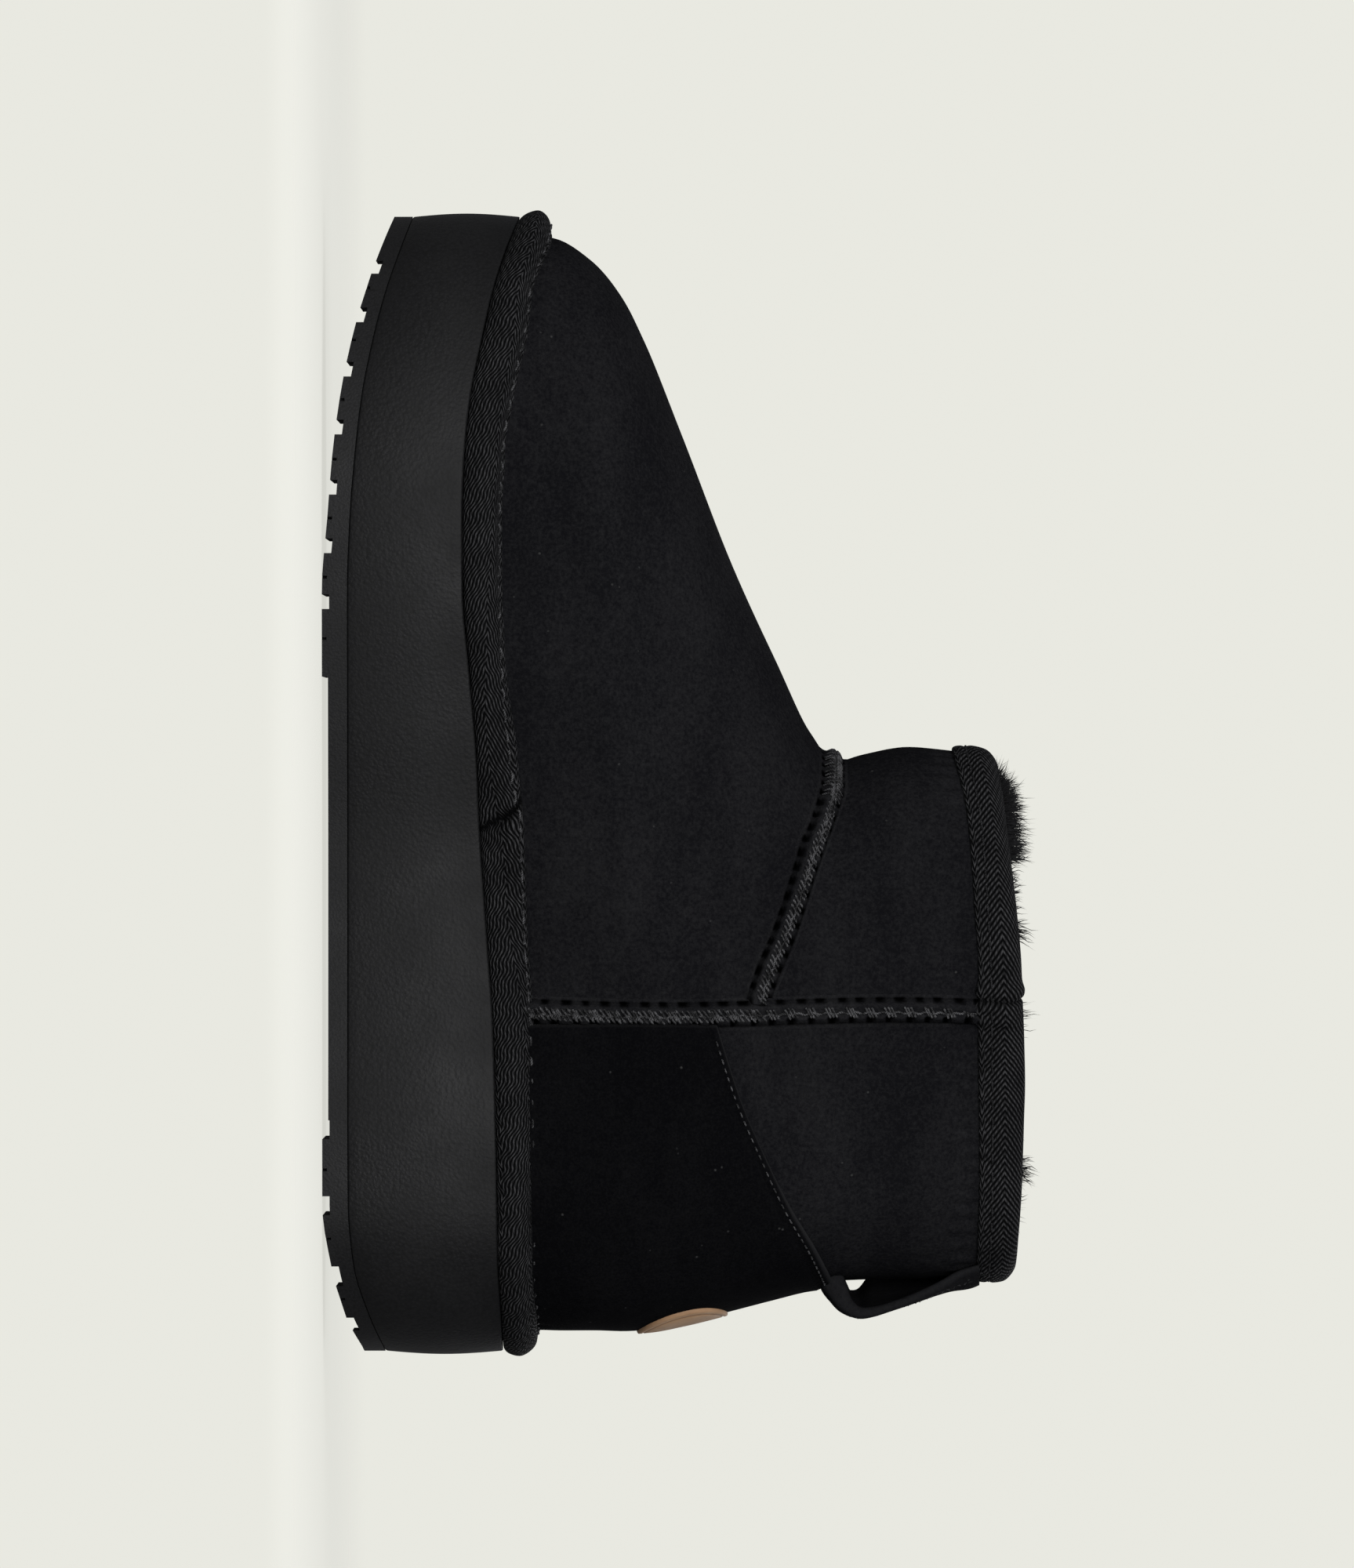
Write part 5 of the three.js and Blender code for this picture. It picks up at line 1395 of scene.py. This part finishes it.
def measured(cloth):
    """Distances across from the first row, and along by the middle row, in millimetres."""
    across = np.cumsum(np.linalg.norm(np.diff(cloth, axis=0, prepend=cloth[:1]), axis=-1), axis=0)
    middle = cloth[len(cloth) // 2]
    along = np.cumsum(np.linalg.norm(np.diff(middle, axis=0, prepend=middle[:1]), axis=-1))
    return across, np.broadcast_to(along, across.shape)


def row_places(across, row_at):
    """The place up the grid, at each column, of a row this far across."""
    rows = np.arange(len(across))
    return np.array([np.interp(row_at[c], across[:, c], rows) for c in range(across.shape[1])])


def pressed_cloth(cloth, depth, facing=1):
    """The cloth with each point sunk by its depth; facing is -1 where its rows run downwards."""
    way = facing * unit(np.cross(np.gradient(cloth, axis=0), np.gradient(cloth, axis=1)))
    return cloth - way * depth[..., None]


def welt_tape():
    turn = np.linspace(0, 1, TAPE_STEPS + 1)

    def edge(inset, share):
        flat = sole_outline(turn, inset)
        low = top_at(flat[:, 0]) + GAP
        return np.column_stack([flat, low + share * (tape_at(flat[:, 0]) - low)])

    out = unit(sole_outline(turn, 0) - sole_outline(turn, 1))

    def over_suede(guide, level, thick):
        """The guide line moved out where it would run inside the suede."""
        short = np.sum((suede_at(turn, level, thick)[:, :2] - guide[:, :2]) * out, -1)
        return guide + np.column_stack([out * np.clip(short, 0, None)[:, None], turn * 0])

    guides = [
        suede_at(turn, 1.05, -0.3), suede_at(turn, 1.04, 0.7), suede_at(turn, 0.99, TAPE_THICK + 0.3),
        over_suede(edge(3.3, 0.93), 0.93, TAPE_THICK + 0.6),
        over_suede(edge(1.25, 0.74), 0.74, TAPE_THICK + 1.4),
        edge(0.0, 0.45), edge(0.5, 0.14), edge(1.8, -0.02), edge(4, -0.03),
    ]
    cloth = smooth_rows(guides, 34)
    across, along = measured(cloth)
    joint = np.interp(turn_at(WELT_JOINT_X, 46, "inner"), turn, along[0])
    past = along[0] - joint
    row_at = np.where(past > 0, WELT_ROW_TOE, WELT_ROW_HEEL) + 1.1
    sewn = 0.16 * np.exp(-(((across - row_at) / 0.6) ** 2))
    ruck = 0.16 * np.sin(2 * np.pi * along / WELT_STITCH["pitch"]) * np.exp(-(((across - 2.2) / 1.8) ** 2))
    diagonal = past + 0.5 * (across - 6)
    joined = np.exp(-((diagonal / 1.1) ** 2))
    crush = 0.5 * np.exp(-((diagonal / 2.4) ** 2)) * np.exp(-(((across - 7.5) / 3) ** 2))
    crease = 1.15 * joined * np.clip((across - 2.5) / 2, 0, 1) * np.clip((13.5 - across) / 3, 0, 1)
    lap = -0.7 * np.exp(-(((diagonal + 3.2) / 2.2) ** 2)) * np.exp(-(((across - 6.5) / 4) ** 4))
    uneven = 0.22 * drift(cloth, 9, 12)[..., 0]
    cloth = pressed_cloth(cloth, sewn + ruck * 0.6 + crush + crease + lap + uneven, -1)
    twisted = np.where(diagonal < 0, np.exp(np.minimum(diagonal, 0) / 9), 0)
    along = along + 0.9 * (twisted > 0) + 0.8 * twisted * (across - 8.2)
    across = across + 0.5 * (twisted > 0)
    # The last value is painted shadow along the fold at the joint.
    return cloth, across, along, row_places(across, row_at), np.clip(1.5 * joined - 0.2, 0, 1)


def cloth_mesh(name, cloth, across, along, shadow, flip=False):
    points = cloth.reshape(-1, 3)
    faces = grid_faces(*cloth.shape[:2])
    on = np.stack([across, along], -1).reshape(-1, 2)
    return make_mesh(name, points, [faces[:, ::-1] if flip else faces], {"painted_fold_shadow": shadow}, on)


welt_weave = tape_finish("herringbone_tape", 8.2, -2.3, 2.0, 2.1, (1, 0))
welt_cloth, across, along, row, shadow = welt_tape()
add_piece("welt_binding_tape", cloth_mesh("welt_tape", welt_cloth, across, along, shadow),
          welt_weave, ["welt_binding"])
add_thread("welt_binding_stitches", running_stitches("welt_stitches", welt_cloth[:, ::-1], row[::-1], 1,
                                                     TAPE_STEPS - 1, **WELT_STITCH))

# ---------------------------------------------------------------------------
# Collar binding: the same woven tape folded over the top edge, outside and inside, and sewn
# through with one row. Its ends meet over the inner side seam.
RIM_RISE = 1.6
LEG_INSIDE = 0.62
COLLAR_ROW = 3.1
COLLAR_STITCH = {"pitch": 4.4, "long": 3.2, "thick": 0.5}
COLLAR_JOINT_X = -50.5


def collar_tape():
    turn = np.linspace(0, 1, TAPE_STEPS + 1)
    rim = suede_at(turn, TOP_LEVEL)
    low = level_at(turn, collar_edge_at(rim[:, 0]))
    thick = TAPE_THICK + GAP

    def over(out, up):
        return suede_at(turn, TOP_LEVEL, out) + (0, 0, up)

    guides = [
        suede_at(turn, low, -0.4), suede_at(turn, low + 0.02, 0.9),
        suede_at(turn, low + 0.28 * (TOP_LEVEL - low), thick),
        suede_at(turn, low + 0.62 * (TOP_LEVEL - low), thick + 0.55),
        over(thick + 0.35, 0.2), over(-0.3, TAPE_THICK + 0.95), over(-RIM_WALL / 2, TAPE_THICK + RIM_RISE),
        over(-RIM_WALL + 0.3, TAPE_THICK + 0.95), over(-RIM_WALL - thick - 0.2, 0.0),
        suede_at(turn, TOP_LEVEL - LEG_INSIDE / 2, -wall_at(TOP_LEVEL - LEG_INSIDE / 2) - thick),
        suede_at(turn, TOP_LEVEL - LEG_INSIDE, -wall_at(TOP_LEVEL - LEG_INSIDE) - 0.9),
        suede_at(turn, TOP_LEVEL - LEG_INSIDE - 0.02, -wall_at(TOP_LEVEL - LEG_INSIDE) + 0.5),
    ]
    cloth = smooth_rows(guides, 50)
    across, along = measured(cloth)
    joint = np.interp(turn_at(COLLAR_JOINT_X, 156, "inner"), turn, along[0])
    past = along[0] - joint
    row_at = np.full(len(turn), COLLAR_ROW + 1.1)
    sewn = 0.34 * np.exp(-(((across - row_at) / 0.55) ** 2))
    wave = np.sin(2 * np.pi * along / COLLAR_STITCH["pitch"])
    ruck = 0.16 * wave * np.exp(-(((across - 2.4) / 2.0) ** 2))
    crease = 0.7 * np.exp(-((past / 0.45) ** 2)) - 0.6 * np.exp(-(((past - 2) / 1.7) ** 2))
    uneven = 0.2 * drift(cloth, 10, 14)[..., 0]
    for side in ("inner", "outer"):
        seam = np.interp(turn_at(SIDE_SEAM_X, 156, side), turn, along[0])
        over_seam = np.exp(-(((along - seam) / 2.6) ** 4) - ((across - 4) / 6) ** 4)
        uneven = uneven - 1.5 * over_seam
    cloth = pressed_cloth(cloth, sewn + ruck + crease + uneven)
    along = along + np.where(past < 0, 0.8, 0) + 0 * across
    # The last value is painted shadow along the crease at the joint.
    return cloth, across, along, row_places(across, row_at), np.clip(crease / 0.7, 0, 1) + 0 * across


collar_weave = tape_finish("herringbone_tape_collar", 7.2, -1.25, 1.5, 2.4, (1, 0))
collar_cloth, across, along, row, shadow = collar_tape()
add_piece("collar_binding_tape", cloth_mesh("collar_tape", collar_cloth, across, along, shadow, True),
          collar_weave, ["collar_binding"])
stitches = running_stitches("collar_stitches", collar_cloth, row, 1, TAPE_STEPS - 1, **COLLAR_STITCH)
collar_thread = thread_finish("collar_thread", (0.003, 0.003, 0.0034), (0.024, 0.024, 0.026), 0.2)
add_piece("collar_binding_stitches", stitches, collar_thread)

# ---------------------------------------------------------------------------
# Pull loop: a strap of smooth suede, folded on itself and sewn along both edges. Its foot is
# tucked in at the counter's upper edge and its top goes under the collar binding, and a finger
# goes behind it.
LOOP_WIDTH = 22
LOOP_CENTRE_Y = -5
LOOP_ROW = 3.7
LOOP_EDGE = 1.1
LOOP_STITCH = {"pitch": 2.8, "long": 2.0, "thick": 0.45}
# Along the strap from its foot: height, how far its inner edge stands off, its thickness, and
# the part of that stand-off that its outer edge, pressed to the shaft, has lost.
LOOP = {
    "z": [118.6, 119.2, 120.2, 122, 125, 128.4, 133, 138, 143, 147.5, 151.4, 153.2],
    "stand_off": [0.2, 1.5, 3.4, 6.7, 9.0, 9.2, 8.1, 6.6, 4.7, 2.9, 1.7, 1.3],
    "thick": [5.6, 5.6, 5.0, 3.8, 2.8, 2.4, 2.3, 2.3, 2.3, 2.2, 2.0, 1.8],
    "pressed": [0, 0, 0.05, 0.25, 0.5, 0.85, 0.93, 0.93, 0.86, 0.6, 0, 0],
}


def strap():
    guide = np.column_stack(list(LOOP.values()))[:, None]
    path = smooth_rows(list(guide), 84)[:, 0]
    on = unit(np.gradient(path[:, :2], axis=0))
    facing = np.column_stack([-on[:, 1], on[:, 0]])
    side = LOOP_WIDTH / 2 - LOOP_EDGE
    arc = np.radians(np.linspace(-90, 90, 9))
    flat = np.linspace(-1, 1, 26)[1:-1] * side
    edge = LOOP_EDGE * np.cos(arc)
    y = np.concatenate([flat, side + edge, flat[::-1], -side - edge])
    out = np.concatenate([np.full(len(flat), -1.0), np.sin(arc), np.ones(len(flat)), -np.sin(arc)])
    sewn = np.exp(-(((np.abs(y) - (LOOP_WIDTH / 2 - LOOP_ROW)) / 0.7) ** 2))
    out = out * (1 - 0.25 * sewn)
    pale = np.clip((np.abs(y) - side) / LOOP_EDGE, 0, 1)
    y, out, pale = np.r_[y, y[:1]], np.r_[out, out[:1]], np.r_[pale, pale[:1]]
    half = path[:, 2:3] / 2
    twisted = 1 - path[:, 3:4] * np.clip(0.5 - y / LOOP_WIDTH, 0, 1)
    uneven = 0.12 * drift(np.stack(np.broadcast_arrays(path[:, :1], y, y * 0), -1), 6, 15)[..., 0]
    z = path[:, :1] + facing[:, :1] * out * half
    stand = path[:, 1:2] * twisted + facing[:, 1:] * (out * half + uneven * np.sign(out))
    sides = LOOP_CENTRE_Y + y + 0.35 * np.sin(path[:, :1] / 5.5)
    at_z = np.broadcast_to(path[:, :1], sides.shape)
    turn = heel_turn(sides, at_z)
    back = look_up(LAST, turn, level_at(turn, at_z))[..., 0]
    points = np.stack([back - stand, sides, z], -1)
    outer = points[:, len(flat) + len(arc): 2 * len(flat) + len(arc)]
    return points, np.broadcast_to(pale, z.shape), outer, flat[::-1]


strap_suede, tree, shader, where, brushed = suede_finish(
    "strap_suede", (0.005, 0.005, 0.0056), (0.011, 0.011, 0.012), 0.4, 0.6, 0.12
)
frayed = spread(tree, speckle(tree, where, 1.2), 0.3, 0.6, 0.5, 1)
frayed = reckon(tree, "MULTIPLY", mark_of(tree, "cut_edge"), frayed)
fill(tree, shader.inputs["Base Color"], tint(tree, frayed, brushed["Colour"], (0.012, 0.012, 0.013, 1)))
strap_points, pale, outer_face, columns = strap()
mesh = make_mesh("strap", strap_points.reshape(-1, 3), [grid_faces(*strap_points.shape[:2])],
                 {"cut_edge": pale})
add_piece("pull_loop_strap", mesh, strap_suede, ["pull_loop"])
for name, place_across in (("inner", LOOP_WIDTH / 2 - LOOP_ROW), ("outer", LOOP_ROW - LOOP_WIDTH / 2)):
    face = outer_face.transpose(1, 0, 2)[::-1]
    row = np.full(face.shape[1], np.interp(place_across, columns[::-1], np.arange(len(columns))))
    stitches = running_stitches("loop_stitches", face, row, 4, face.shape[1] - 6, **LOOP_STITCH)
    add_thread(f"pull_loop_stitches_{name}", stitches)
